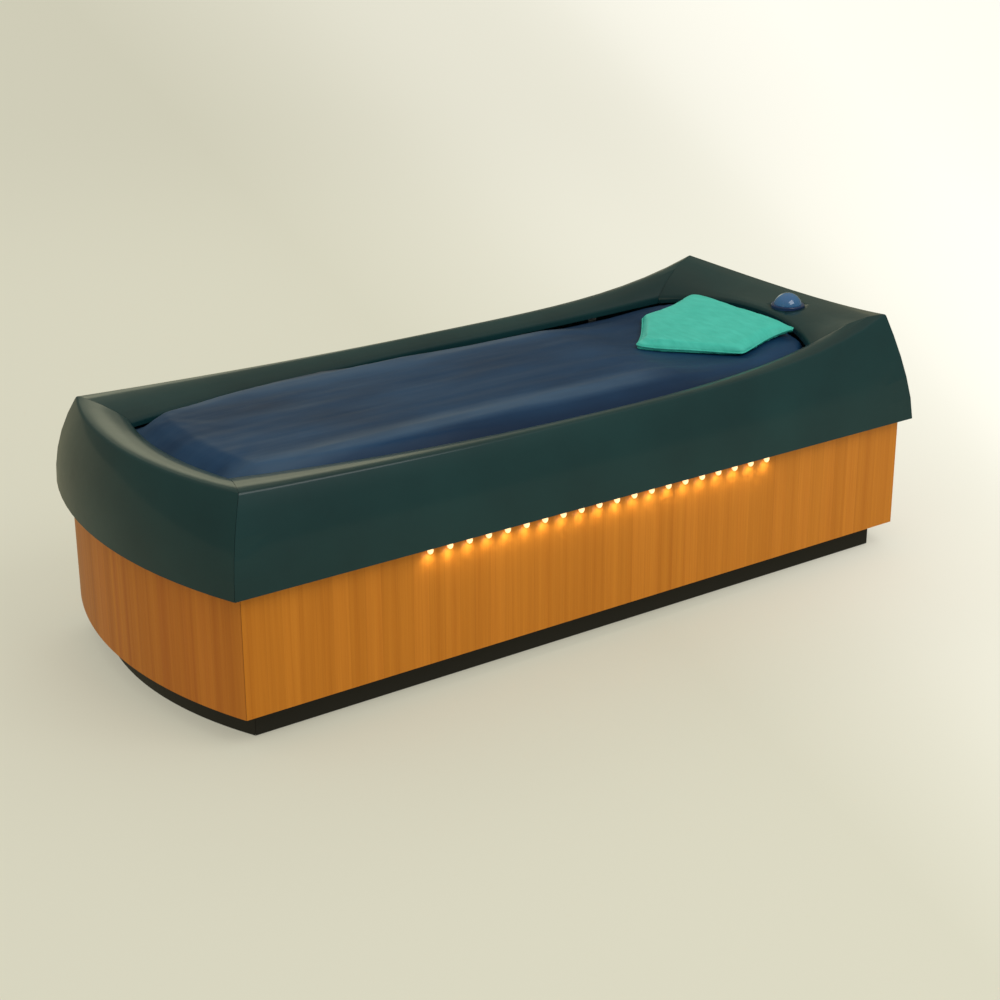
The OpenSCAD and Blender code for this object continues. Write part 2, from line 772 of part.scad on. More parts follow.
module water_basin() {
    color("white") difference() {
        union() {
            basin_plan(basin_floor, flange_z);
            bar(-foot_edge_x, shelf_rail_x + 4, -flange_out, flange_out, flange_low, flange_z);
        }
        bar(-basin_foot_x, basin_head_x, -basin_half, basin_half, basin_floor - 1, flange_z + 1);
        for (p = wall_ports) along_x(basin_head_x - 1, p[0], p[1])
            cylinder(r = p[2] + join, h = basin_wall + 2, $fn = 48);
    }
}

module basin_bottom() {
    color("white") basin_plan(basin_low, basin_floor);
}

module basin_insulation() {
    color("khaki") difference() {
        bar(-basin_foot_x - basin_wall - insulation_t, shelf_rail_x - 2, -post_in, post_in, cross_z,
            rail_low - 10);
        basin_plan(basin_low, flange_z);
        for (p = wall_ports) along_x(basin_head_x, p[0], p[1])
            cylinder(r = min(p[2] + 14, p[1] - basin_low - 2), h = 60, $fn = 48);
    }
}

module membrane_clamps() {
    color("silver") difference() {
        bar(-foot_edge_x, head_edge_x, -clamp_out, clamp_out, clamp_low, clamp_low + clamp_h);
        bar(-foot_clamp_x, head_clamp_x, -clamp_in, clamp_in, clamp_low - 1, clamp_low + clamp_h + 1);
    }
}

module membrane() {
    color("slateblue")
        loft([for (x = membrane_xs) concat(membrane_ring(x, 0), reverse(membrane_ring(x, membrane_t)))]);
}

module head_shelf() {
    color("burlywood") bar(shelf_rail_x + 6, head_edge_x, -flange_out, flange_out, flange_low, flange_z);
}

// Foam block with softened long edges, its top a little under the membrane
module foam(xs, half, low, gap) {
    loft([for (x = xs) let (
        top = plateau(x) - membrane_t - gap
    ) [
        [x, -half, top - 8], [x, 8 - half, top], [x, half - 8, top], [x, half, top - 8],
        [x, half, low], [x, half - 8, low], [x, 8 - half, low], [x, -half, low]
    ]]);
}

wedge_l = 130;
wedge_half = cushion_half - 32;

module head_wedge() {
    xs = [for (x = cushion_xs) if (x > pillow_x && x < pillow_x + wedge_l) x];
    color("lightgray") foam(concat([pillow_x], xs), wedge_half, flange_z, 1);
}

// Half width of the head cushion, whose sides the filling draws in between the corners,
// and share of its full thickness across it
function drawn_in(a, b, t) = lerp(a, b, t) - cushion_draw * sin(180 * t);
function cushion_side(x) = let (wide = cushion_xs[cushion_shoulder]) x < wide
    ? drawn_in(cushion_tip_half, cushion_half, (x - cushion_tip_x) / (wide - cushion_tip_x))
    : drawn_in(cushion_half, cushion_half - 3, (x - wide) / (cushion_head_x - wide));
function cushion_full(v) = 0.4 + 0.6 * sqrt(max(0, 1 - pow(abs(v), 5)));
cushion_lines = [-1, -0.98, -0.92, -0.8, -0.5, 0, 0.5, 0.8, 0.92, 0.98, 1];
cushion_rows = concat(
    [cushion_tip_x, cushion_tip_x + 5, cushion_tip_x + 18],
    [for (k = [1:cushion_steps - 1]) cushion_xs[k]],
    [cushion_head_x - 18, cushion_head_x - 5, cushion_head_x]
);

module head_cushion() {
    color("mediumaquamarine") loft([for (x = cushion_rows) let (
        low = plateau(x) + 2 * soft_gap,
        end_gap = min(x - cushion_tip_x, cushion_head_x - x),
        full = 0.4 + 0.6 * sqrt(1 - pow(1 - min(1, end_gap / 20), 2))
    ) concat(
        [for (v = cushion_lines) [x, v * cushion_side(x), low + cushion_t * min(full, cushion_full(v))]],
        [for (v = reverse(cushion_lines)) [x, v * cushion_side(x), low]]
    )]);
}

// Lifting platform
platform_x = [140 - basin_foot_x, basin_head_x - 40];
arm_x = [for (k = [0:2]) lerp(platform_x[0] + 220, platform_x[1] - 210, k / 2)];
bellows_x = [lerp(arm_x[0], arm_x[1], 0.4), lerp(arm_x[1], arm_x[2], 0.6)];
platform_half = open_foot_half - platform_gap;
board_top = plateau_z - 46;
board_t = 12;
lift_rail_h = 20;
lift_rail_y = 150;
lift_rail_low = board_top - board_t - lift_rail_h;
arm_low = lift_rail_low - lift_rail_h;
arm_end = basin_half - 32;
shoe_half = 8;
shoe_low = arm_low - 24;
guide_depth = 22;
guide_wall = 6;
head_plate_t = 6;
base_h = 24;
bellows_h = lift_rail_low - head_plate_t - basin_floor - base_h;
lift_stroke = bellows_h - bellows_flat;
platform_foam_half = platform_half - 10;

module guide_rails() {
    color("gainsboro") for (x = arm_x) both_sides() difference() {
        bar(x - shoe_half - 12, x + shoe_half + 12, basin_half - guide_depth, basin_half,
            shoe_low - lift_stroke - 20, arm_low + 18);
        bar(x - shoe_half - guide_clear, x + shoe_half + guide_clear, basin_half - guide_depth - 1,
            basin_half - guide_wall, shoe_low - lift_stroke - 21, arm_low + 19);
    }
}

module guide_shoes() {
    color("ivory") for (x = arm_x) both_sides()
        bar(x - shoe_half, x + shoe_half, arm_end, basin_half - guide_wall - guide_clear, shoe_low,
            arm_low + 14);
}

module platform_arms() {
    color("silver") for (x = arm_x) tube_y(x - 20, x + 20, -arm_end, arm_end, arm_low, lift_rail_low);
}

module platform_rails() {
    color("silver") both_sides()
        tube_x(platform_x[0], platform_x[1], lift_rail_y - 20, lift_rail_y + 20, lift_rail_low,
            board_top - board_t);
}

module platform_board() {
    color("whitesmoke") bar(platform_x[0], platform_x[1], -platform_half, platform_half,
        board_top - board_t, board_top);
}

module platform_foam() {
    xs = [for (x = membrane_xs) if (x > platform_x[0] && x < platform_x[1]) x];
    color("lightgray") foam(concat([platform_x[0]], xs, [platform_x[1]]), platform_foam_half,
        board_top, 1);
}

module bellows_heads() {
    color("gray") for (x = bellows_x)
        bar(x - bellows_r - 5, x + bellows_r + 5, -lift_rail_y - 20, lift_rail_y + 20,
            lift_rail_low - head_plate_t, lift_rail_low);
}

module bellows_bases() {
    color("gray") for (i = [0, 1]) translate([bellows_x[i], 0, basin_floor]) difference() {
        cylinder(r = bellows_r + 3, h = base_h, $fn = 96);
        translate([0, 0, air_z - basin_floor]) cylinder(r = air_r - 2, h = base_h, $fn = 32);
        translate([0, 0, air_z - basin_floor]) rotate([0, 90, i == 0 ? 90 : 0])
            cylinder(r = air_r - 2, h = bellows_r, $fn = 32);
        translate([0, 0, air_z - basin_floor]) rotate([0, 90, i == 0 ? 90 : 0])
            translate([0, 0, bellows_r - 17])
            cylinder(r = air_r + join, h = 30, $fn = 32);
    }
}

// Corrugated sleeve standing on the XY plane
module corrugated(height, outer, inner, wall, folds) {
    pitch = height / folds;
    rotate_extrude($fn = 96) polygon(concat(
        [for (i = [0:folds - 1]) each [[inner, i * pitch], [outer, (i + 0.5) * pitch]]],
        [[inner, height], [inner - wall, height]],
        [for (i = [folds - 1:-1:0]) each [[outer - wall, (i + 0.5) * pitch], [inner - wall, i * pitch]]]
    ));
}

module lift_bellows() {
    color("dimgray") for (x = bellows_x) translate([x, 0, basin_floor + base_h])
        corrugated(bellows_h, bellows_r, bellows_r - 28, 4, bellows_folds);
}

// Service gear at the head end
tray_top = cross_z + 12;
pump_x = basin_head_x + 100;
volute_r = 68;
volute_t = 45;
pump_mid = pump_x + volute_t / 2;
motor_x = pump_x + volute_t;
motor_l = 155;
shaft_r = 6;
run_clear = 0.06;
heater_z = port_z + 128;
heater_half = 120;
stub = 30;
hose_r = 18;
hose_bend = 38;
discharge_z = heater_z - hose_bend;
blower_x = basin_head_x + 290;
blower_r = 70;
box_x = [end_post_x - 145, end_post_x + 35];
box_y = [post_in - 163, post_in - 13];
box_h = 258;
valve_x = basin_head_x + 62;

module service_tray() {
    color("gray") bar(shelf_rail_x, end_post_x + tube / 2, 8 - post_in, post_in - 8, cross_z, tray_top);
}

module wall_fitting(y, z, outer, bore, end) {
    along_x(basin_head_x - 5, y, z) pipe(end - basin_head_x + 5, outer, bore);
    along_x(basin_head_x - 5, y, z) pipe(5, outer + 5, bore);
}

module fitting_nut(y, z, outer) {
    along_x(basin_head_x + basin_wall, y, z) difference() {
        cylinder(r = outer + 5, h = 8, $fn = 6);
        translate([0, 0, -1]) cylinder(r = outer + join, h = 10, $fn = 48);
    }
}

module basin_fittings() {
    color("lightgray") {
        wall_fitting(-port_y, port_z, port_r, port_bore, pump_x - 40);
        wall_fitting(port_y, port_z, port_r, port_bore, pump_x - 40);
        wall_fitting(-drain_y, drain_z, drain_r, drain_bore, valve_x - 18);
        fitting_nut(-port_y, port_z, port_r);
        fitting_nut(port_y, port_z, port_r);
        fitting_nut(-drain_y, drain_z, drain_r);
    }
}

module pump_housing() {
    color("steelblue") difference() {
        union() {
            along_x(pump_x, -port_y, port_z) cylinder(r = volute_r, h = volute_t, $fn = 96);
            along_x(pump_x - 60, -port_y, port_z) cylinder(r = port_r + 5, h = 62, $fn = 48);
            translate([pump_mid, -port_y, port_z + 40])
                cylinder(r = port_r, h = discharge_z - port_z - 44, $fn = 48);
            bar(pump_x + 5, motor_x - 5, -port_y - 30, -port_y + 30, tray_top, port_z - 50);
        }
        along_x(pump_x + 6, -port_y, port_z) cylinder(r = volute_r - 10, h = volute_t - 12, $fn = 96);
        along_x(pump_x - 61, -port_y, port_z) cylinder(r = port_r + join, h = 23, $fn = 48);
        along_x(pump_x - 61, -port_y, port_z) cylinder(r = port_bore, h = 70, $fn = 48);
        along_x(pump_mid, -port_y, port_z) cylinder(r = shaft_r + run_clear, h = 40, $fn = 48);
        translate([pump_mid, -port_y, port_z + 30]) cylinder(r = port_bore, h = 100, $fn = 48);
    }
}

module pump_motor() {
    color("slategray") difference() {
        union() {
            along_x(motor_x, -port_y, port_z) cylinder(r = 58, h = motor_l - 25, $fn = 96);
            along_x(motor_x + motor_l - 25, -port_y, port_z) cylinder(r = 50, h = 25, $fn = 96);
            bar(motor_x + 25, motor_x + motor_l - 35, -port_y - 40, -port_y + 40, tray_top, port_z - 40);
        }
        along_x(motor_x - 1, -port_y, port_z) cylinder(r = shaft_r + run_clear, h = 50, $fn = 48);
    }
}

module pump_impeller() {
    color("goldenrod") {
        along_x(pump_mid - 2, -port_y, port_z) cylinder(r = 50, h = 8, $fn = 96);
        along_x(pump_mid - 8, -port_y, port_z) cylinder(r = 13, h = 20, $fn = 48);
        along_x(pump_mid, -port_y, port_z) cylinder(r = shaft_r, h = volute_t / 2 + 42, $fn = 48);
        for (i = [0:5]) translate([0, -port_y, port_z]) rotate([60 * i, 0, 0])
            bar(pump_mid - 12, pump_mid - 1, 10, 48, -1.5, 1.5);
    }
}

module water_heater() {
    color("silver") difference() {
        union() {
            translate([pump_mid, heater_half, heater_z]) rotate([90, 0, 0])
                cylinder(r = 36, h = 2 * heater_half, $fn = 96);
            translate([pump_mid, heater_half + stub, heater_z]) rotate([90, 0, 0])
                cylinder(r = port_r, h = 2 * (heater_half + stub), $fn = 48);
            both_sides() bar(pump_mid - 25, pump_mid + 25, 60, 72, tray_top, heater_z - 10);
        }
        translate([pump_mid, heater_half + stub + 1, heater_z]) rotate([90, 0, 0])
            cylinder(r = port_bore, h = 2 * (heater_half + stub + 1), $fn = 48);
    }
}

module water_hoses() {
    bore = port_r + join;
    color("dimgray") {
        translate([pump_mid, -port_y, discharge_z - 18]) pipe(18, hose_r, bore);
        translate([pump_mid, hose_bend - port_y, discharge_z]) rotate([90, 0, -90])
            bend(hose_bend, hose_r, bore);
        translate([pump_mid, hose_bend - port_y, heater_z]) rotate([-90, 0, 0])
            pipe(port_y - hose_bend - heater_half - 2, hose_r, bore);
        translate([pump_mid, heater_half + 2, heater_z]) rotate([-90, 0, 0])
            pipe(port_y - hose_bend - heater_half - 2, hose_r, bore);
        translate([pump_mid, port_y - hose_bend, discharge_z]) rotate([90, 0, 90])
            bend(hose_bend, hose_r, bore);
        translate([pump_mid, port_y, port_z + hose_bend])
            pipe(discharge_z - port_z - hose_bend, hose_r, bore);
        translate([pump_mid - hose_bend, port_y, port_z + hose_bend]) rotate([-90, 0, 0])
            bend(hose_bend, hose_r, bore);
        along_x(pump_x - 60, port_y, port_z) pipe(pump_mid - hose_bend - pump_x + 60, hose_r, bore);
    }
}

module air_blower() {
    color("darkgray") difference() {
        union() {
            translate([blower_x, 0, tray_top]) cylinder(r = blower_r + 12, h = 8, $fn = 96);
            translate([blower_x, 0, tray_top]) cylinder(r = blower_r, h = 150, $fn = 96);
            translate([blower_x, 0, tray_top + 150]) cylinder(r = blower_r - 18, h = 38, $fn = 96);
            along_x(blower_x - blower_r - 20, 0, air_z) cylinder(r = air_r + 5, h = 40, $fn = 48);
            translate([blower_x, blower_r + 20, air_z]) rotate([90, 0, 0])
                cylinder(r = air_r + 5, h = 40, $fn = 48);
        }
        along_x(blower_x - blower_r - 21, 0, air_z) cylinder(r = air_r + join, h = 26, $fn = 48);
        translate([blower_x, blower_r + 21, air_z]) rotate([90, 0, 0])
            cylinder(r = air_r + join, h = 26, $fn = 48);
    }
}

module air_pipes() {
    start = bellows_r - 14;
    run_y = air_y - hose_bend;
    color("white") {
        along_x(bellows_x[1] + start, 0, air_z)
            pipe(blower_x - blower_r - 2 - bellows_x[1] - start, air_r, air_r - 2);
        translate([bellows_x[0], start, air_z]) rotate([-90, 0, 0]) pipe(run_y - start, air_r, air_r - 2);
        translate([bellows_x[0] + hose_bend, run_y, air_z]) mirror([1, 0, 0])
            bend(hose_bend, air_r, air_r - 2);
        along_x(bellows_x[0] + hose_bend, air_y, air_z)
            pipe(blower_x - bellows_x[0] - 2 * hose_bend, air_r, air_r - 2);
        translate([blower_x - hose_bend, run_y, air_z]) bend(hose_bend, air_r, air_r - 2);
        translate([blower_x, blower_r + 2, air_z]) rotate([-90, 0, 0])
            pipe(run_y - blower_r - 2, air_r, air_r - 2);
    }
}

plug_r = 12;
valve_half = 14;
lever_l = 64;

module drain_valve() {
    color("goldenrod") difference() {
        union() {
            bar(valve_x - 32, valve_x + 30, -drain_y - 18, -drain_y + 18, drain_z - valve_half,
                drain_z + valve_half);
            along_x(valve_x + 29, -drain_y, drain_z) cylinder(r = drain_r, h = 24, $fn = 48);
        }
        along_x(valve_x - 33, -drain_y, drain_z) cylinder(r = drain_bore, h = 100, $fn = 48);
        along_x(valve_x - 33, -drain_y, drain_z) cylinder(r = drain_r + join, h = 16, $fn = 48);
        translate([valve_x, -drain_y, drain_z - valve_half + 3])
            cylinder(r = plug_r + run_clear, h = 60, $fn = 64);
    }
}

module drain_lever() {
    color("firebrick") difference() {
        union() {
            translate([valve_x, -drain_y, drain_z - valve_half + 3 + fit])
                cylinder(r = plug_r, h = 2 * valve_half, $fn = 64);
            translate([valve_x, -drain_y, drain_z + valve_half + fit])
                cylinder(r = plug_r + 3, h = 7, $fn = 64);
            bar(valve_x - 8, valve_x + 8, -drain_y - lever_l, -drain_y, drain_z + valve_half + fit + 1,
                drain_z + valve_half + fit + 7);
        }
        translate([valve_x, -drain_y + 20, drain_z]) rotate([90, 0, 0])
            cylinder(r = drain_bore, h = 40, $fn = 48);
    }
}

line_r = 4;
line_bend = 20;
line_x = control_x + 2 * line_bend;
line_y = box_y[0] + 65;
line_z = flange_z + 4;
sleeve_l = 34;

module control_box() {
    wall = 3;
    color("darkslategray") difference() {
        bar(box_x[0], box_x[1], box_y[0], box_y[1], tray_top, tray_top + box_h);
        bar(box_x[0] + wall, box_x[1] - wall, box_y[0] + wall, box_y[1] - wall, tray_top - 1,
            tray_top + box_h - wall);
        translate([line_x, line_y, tray_top + box_h - 10]) cylinder(r = line_r + join, h = 20, $fn = 32);
    }
}

module air_line() {
    x = control_x;
    y = control_y;
    color("white") {
        translate([x, y, line_z + line_bend])
            pipe(seat_z - sleeve_l + 3 - line_z - line_bend, line_r, line_r - 1.5);
        translate([x, y + line_bend, line_z + line_bend]) rotate([-90, 0, -90])
            bend(line_bend, line_r, line_r - 1.5);
        translate([x, y + line_bend, line_z]) rotate([-90, 0, 0])
            pipe(line_y - y - 2 * line_bend, line_r, line_r - 1.5);
        translate([x + line_bend, line_y - line_bend, line_z]) mirror([1, 0, 0])
            bend(line_bend, line_r, line_r - 1.5);
        translate([x + line_bend, line_y, line_z - line_bend]) rotate([90, 0, 0])
            bend(line_bend, line_r, line_r - 1.5);
        translate([line_x, line_y, tray_top + box_h - 6])
            pipe(line_z - line_bend - tray_top - box_h + 6, line_r, line_r - 1.5);
    }
}

// Push dome on the head deck
collar_h = 10;
collar_floor = 2.5;
dome_low = collar_floor + dome_travel + 1;
dome_wall = 3;
cap_low = collar_h + 2;
cap_r = (dome_r * dome_r + dome_h * dome_h) / (2 * dome_h);
cap_z = cap_low + dome_h - cap_r;
boss_z = cap_low + dome_h - 10;
dome_stem_r = 4;

module dome_collar() {
    color("royalblue") at_control() difference() {
        union() {
            cylinder(r = collar_r, h = collar_h - 2, $fn = 96);
            cylinder(r1 = collar_r, r2 = collar_r - 2, h = collar_h, $fn = 96);
            translate([0, 0, -sleeve_l]) cylinder(r = socket_r, h = sleeve_l + 1, $fn = 64);
        }
        translate([0, 0, collar_floor]) cylinder(r = dome_r + fit, h = collar_h, $fn = 96);
        translate([0, 0, 4 - sleeve_l]) cylinder(r = socket_r - 4, h = sleeve_l - 4, $fn = 64);
        translate([0, 0, -1]) cylinder(r = dome_stem_r + run_clear, h = 10, $fn = 48);
        translate([0, 0, -sleeve_l - 1]) cylinder(r = line_r + join, h = 10, $fn = 32);
    }
}

module collar_nut() {
    color("gray") at_control() translate([0, 0, -nut_seat - 8]) difference() {
        cylinder(r = nut_r, h = 8, $fn = 64);
        translate([0, 0, -1]) cylinder(r = socket_r + join, h = 10, $fn = 64);
    }
}

module push_dome() {
    color("royalblue") at_control() {
        difference() {
            union() {
                translate([0, 0, dome_low]) cylinder(r = dome_r, h = cap_low - dome_low, $fn = 96);
                intersection() {
                    translate([0, 0, cap_z]) sphere(r = cap_r, $fn = 96);
                    translate([0, 0, cap_low - 1]) cylinder(r = dome_r, h = dome_h + 5, $fn = 96);
                }
            }
            translate([0, 0, dome_low - 1])
                cylinder(r = dome_r - dome_wall, h = cap_low - dome_low + 1, $fn = 96);
            intersection() {
                translate([0, 0, cap_z]) sphere(r = cap_r - dome_wall, $fn = 96);
                translate([0, 0, cap_low - 0.5]) cylinder(r = dome_r, h = dome_h, $fn = 96);
            }
        }
        translate([0, 0, boss_z]) cylinder(r = 15, h = 6, $fn = 48);
        translate([0, 0, -12]) cylinder(r = dome_stem_r, h = boss_z + 14, $fn = 48);
        translate([0, 0, boss_z]) cylinder(r = 8, h = 9, $fn = 48);
    }
}

module dome_bellows() {
    color("dimgray") at_control() translate([0, 0, collar_floor])
        corrugated(boss_z - collar_floor, 14, 11, 2, 4);
}

levelling_pads();
levelling_stems();
lock_nuts();
base_rails();
base_crossmembers();
frame_posts();
top_side_rails();
top_cross_rails();
plinth_near();
plinth_far();
plinth_foot();
plinth_head();
skirt_near();
skirt_far();
skirt_foot();
skirt_head();
skirt_battens();
end_formers();
casing_near();
casing_far();
casing_foot();
casing_head();
casing_brackets();
light_rails();
lamps();
water_basin();
basin_bottom();
basin_insulation();
membrane_clamps();
membrane();
head_shelf();
head_wedge();
head_cushion();
guide_rails();
bellows_bases();
lift_bellows();
platform_arms();
platform_rails();
platform_board();
platform_foam();
guide_shoes();
bellows_heads();
service_tray();
basin_fittings();
pump_housing();
pump_motor();
pump_impeller();
water_hoses();
water_heater();
air_blower();
air_pipes();
drain_valve();
drain_lever();
control_box();
mains_gland();
dome_collar();
collar_nut();
push_dome();
dome_bellows();
air_line();
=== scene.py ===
# %% [markdown]
# # A floating bed
# This lesson dresses a finished construction model of a warm-water floating bed. The construction model
# already has every rigid piece at its real size: the frame, the wooden skirt, the moulded casing, the
# basin, the lifting platform and the service gear. What it lacks is the look. The cells below set the
# camera, a material for every finish, the soft pieces and the studio. The soft pieces are the membrane
# that the sitter lies on, the head cushion, the foams and the rubber bellows.

# %% Load the frame and note its size
import json
import math

import bpy
from mathutils import Matrix, Vector, noise

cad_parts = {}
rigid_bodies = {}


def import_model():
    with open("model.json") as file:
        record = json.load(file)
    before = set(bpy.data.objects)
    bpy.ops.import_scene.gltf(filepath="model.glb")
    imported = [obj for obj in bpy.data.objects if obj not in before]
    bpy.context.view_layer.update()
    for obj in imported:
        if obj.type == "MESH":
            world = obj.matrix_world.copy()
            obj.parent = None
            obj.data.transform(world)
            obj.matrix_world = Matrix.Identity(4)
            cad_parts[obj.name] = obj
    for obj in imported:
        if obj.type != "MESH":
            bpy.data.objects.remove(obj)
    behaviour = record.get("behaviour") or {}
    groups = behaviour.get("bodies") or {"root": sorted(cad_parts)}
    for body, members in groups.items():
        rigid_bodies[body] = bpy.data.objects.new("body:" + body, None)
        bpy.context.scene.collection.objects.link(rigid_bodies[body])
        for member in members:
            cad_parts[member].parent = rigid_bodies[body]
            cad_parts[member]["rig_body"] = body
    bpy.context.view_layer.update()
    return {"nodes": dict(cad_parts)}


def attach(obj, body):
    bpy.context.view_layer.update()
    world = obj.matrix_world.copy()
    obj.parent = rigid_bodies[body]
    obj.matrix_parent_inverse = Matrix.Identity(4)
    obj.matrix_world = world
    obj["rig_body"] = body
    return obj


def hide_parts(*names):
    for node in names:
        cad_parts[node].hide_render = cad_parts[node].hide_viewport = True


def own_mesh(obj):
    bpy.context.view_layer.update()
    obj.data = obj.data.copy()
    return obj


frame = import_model()
nodes = frame["nodes"]

# %% [markdown]
# ## The camera
# The photograph was taken with a long lens from beyond the foot end, well above the rim. A long lens keeps
# the far end almost as large as the near one. A camera can be aimed at a piece with a constraint, but here
# the place and the angles follow from the straight edges in the photograph, so they are set directly. The
# angles are given as a person with a tripod would say them: how far the camera turns from straight across
# the bed, how far it looks down, and a small roll.

# %% Camera
CAMERA_PLACE = (-2.9695, -4.1355, 2.2112)
CAMERA_TURN = 35.61
CAMERA_DOWN = 21.16
CAMERA_ROLL = -0.21
LENS = 72
FARTHEST_SEEN = 200

bpy.ops.object.camera_add(location=(0, 0, 0))
camera = bpy.context.object
camera.name = "photo_camera"
camera.data.lens = LENS
camera.data.clip_end = FARTHEST_SEEN
camera.matrix_world = (
    Matrix.Translation(CAMERA_PLACE)
    @ Matrix.Rotation(math.radians(-CAMERA_TURN), 4, "Z")
    @ Matrix.Rotation(math.radians(90 - CAMERA_DOWN), 4, "X")
    @ Matrix.Rotation(math.radians(CAMERA_ROLL), 4, "Z")
)
bpy.context.scene.camera = camera
print("camera:", LENS, "mm lens,", CAMERA_PLACE[2], "m above the floor")

# %% [markdown]
# ## Colours
# A paint chart gives colours from 0 to 255, as the eye sees them. The shader wants linear light instead.
# Typed linear values would be hard to compare with a chart, so a small function turns one into the other
# and every colour below is written the first way.

# %% Colours as on a paint chart
def paint(red, green, blue):
    def linear(v):
        v /= 255
        return v / 12.92 if v <= 0.04045 else ((v + 0.055) / 1.055) ** 2.4
    return (linear(red), linear(green), linear(blue), 1.0)


BLACK, WHITE = (0, 0, 0, 1), (1, 1, 1, 1)
print("128 on the chart is", round(paint(128, 128, 128)[0], 3), "in linear light")

# %% [markdown]
# ## Helpers for node trees
# A finish is a small network of nodes, and so is the light of the world. Each could be wired node by node,
# but all of them need the same few steps, such as a colour ramp or a mix. A class with a builder for each
# step keeps a material's own cell short.

# %% Node trees
class Network:
    """A tree of shader nodes, and small builders for them."""

    def __init__(self, tree):
        self.tree = tree

    def node(self, kind, **settings):
        made = self.tree.nodes.new(kind)
        for key, value in settings.items():
            setattr(made, key, value)
        return made

    def link(self, out, into):
        self.tree.links.new(out, into)

    def split(self, vector):
        """A vector's X, Y and Z, as three sockets."""
        made = self.node("ShaderNodeSeparateXYZ")
        self.link(vector, made.inputs["Vector"])
        return made.outputs

    def ramp(self, value, *stops):
        made = self.node("ShaderNodeValToRGB")
        elements = made.color_ramp.elements
        while len(elements) < len(stops):
            elements.new(0.5)
        for element, (position, colour) in zip(elements, stops):
            element.position = position
            element.color = colour
        self.link(value, made.inputs["Fac"])
        return made.outputs["Color"]

    def math(self, operation, first, second=0):
        made = self.node("ShaderNodeMath", operation=operation)
        for socket, value in zip(made.inputs, (first, second)):
            if isinstance(value, (int, float)):
                socket.default_value = value
            else:
                self.link(value, socket)
        return made.outputs["Value"]

    def mix(self, share, first, second):
        """A colour between two. The node keeps its colours at sockets 6 and 7, and their mix at 2."""
        made = self.node("ShaderNodeMix", data_type="RGBA")
        for place, value in ((0, share), (6, first), (7, second)):
            if isinstance(value, (int, float, tuple)):
                made.inputs[place].default_value = value
            else:
                self.link(value, made.inputs[place])
        return made.outputs[2]

    def choose(self, share, first, second):
        """The first shader where the share is 0, and the second where it is 1."""
        made = self.node("ShaderNodeMixShader")
        for value, socket in zip((share, first, second), made.inputs):
            self.link(value, socket)
        return made.outputs["Shader"]

    def spread(self, value, low, high):
        made = self.node("ShaderNodeMapRange")
        made.inputs["To Min"].default_value = low
        made.inputs["To Max"].default_value = high
        self.link(value, made.inputs["Value"])
        return made.outputs["Result"]

# %% [markdown]
# ## The start of a finish
# Every finish starts from a Principled shader with a colour and a roughness. A picture wrapped round each
# piece would need it unwrapped and could show seams. Noise on Object coordinates needs neither, and it
# sits still on the piece when the piece moves. A Mapping node squeezes the noise one way where the real
# finish has a grain.

# %% Finishes
class Finish(Network):
    """A material under construction, with its shader and the layers that only a surface has."""

    def __init__(self, name, colour, roughness, **sockets):
        self.material = bpy.data.materials.new(name)
        self.material.use_nodes = True
        self.tree = self.material.node_tree
        self.shader = self.tree.nodes["Principled BSDF"]
        self.shader.inputs["Base Color"].default_value = colour
        self.shader.inputs["Roughness"].default_value = roughness
        for socket, value in sockets.items():
            self.shader.inputs[socket.replace("_", " ")].default_value = value
        self.place = self.node("ShaderNodeTexCoord").outputs["Object"]

    def noise(self, scale, stretch=(1, 1, 1), detail=4.0, roughness=0.55):
        mapping = self.node("ShaderNodeMapping")
        mapping.inputs["Scale"].default_value = stretch
        self.link(self.place, mapping.inputs["Vector"])
        made = self.node("ShaderNodeTexNoise")
        made.inputs["Scale"].default_value = scale
        made.inputs["Detail"].default_value = detail
        made.inputs["Roughness"].default_value = roughness
        self.link(mapping.outputs["Vector"], made.inputs["Vector"])
        return made.outputs["Fac"]

    def colour(self, value):
        self.link(value, self.shader.inputs["Base Color"])

    def rough(self, value):
        self.link(value, self.shader.inputs["Roughness"])

    def bump(self, height, strength, distance):
        """Adds a bump on top of any that is there already."""
        made = self.node("ShaderNodeBump")
        made.inputs["Strength"].default_value = strength
        made.inputs["Distance"].default_value = distance
        self.link(height, made.inputs["Height"])
        before = self.shader.inputs["Normal"].links
        if before:
            self.link(before[0].from_socket, made.inputs["Normal"])
        self.link(made.outputs["Normal"], self.shader.inputs["Normal"])

# %% [markdown]
# ## The casing's finish
# The casing is a moulded shell with a pigmented gelcoat, a very dark teal. Gelcoat has a satin shine, a
# faint waviness left by the mould, and a little dust and handling haze that changes how sharply it
# reflects. One plain colour would look like new plastic. The real colour hardly varies either, so the
# variation goes mostly into roughness and a low bump.

# %% Gelcoat
def gelcoat():
    f = Finish("teal_gelcoat", paint(11, 51, 53), 0.45, Specular_IOR_Level=0.2, Coat_Weight=0.45,
               Coat_Roughness=0.12)
    cloud = f.noise(3.0, detail=6.0)
    f.colour(f.ramp(cloud, (0.3, paint(8, 46, 49)), (0.75, paint(14, 56, 58))))
    haze = f.noise(9.0, detail=8.0, roughness=0.65)
    f.rough(f.spread(haze, 0.38, 0.54))
    f.bump(f.noise(6.0, detail=2.0), 0.12, 0.004)
    f.bump(f.noise(420.0, detail=2.0), 0.05, 0.0004)
    return f


casing_finish = gelcoat()
print("finish:", casing_finish.material.name)

# %% [markdown]
# ## The wooden skirt's finish
# The skirt is veneered in narrow upright strips, each cut from another piece of wood, so neighbouring
# strips differ in tone. Strips could be cut into the mesh, but the real ones lie flush, so the shader draws
# them. A strip's number is its place along the board divided by its width and rounded down, and white
# noise turns that number into a tone. Fine grain runs up the strip: noise that is stretched along Z. A
# thin dark line marks each joint between strips. On the straight sides the strips are counted along X,
# and on the bowed ends along Y.

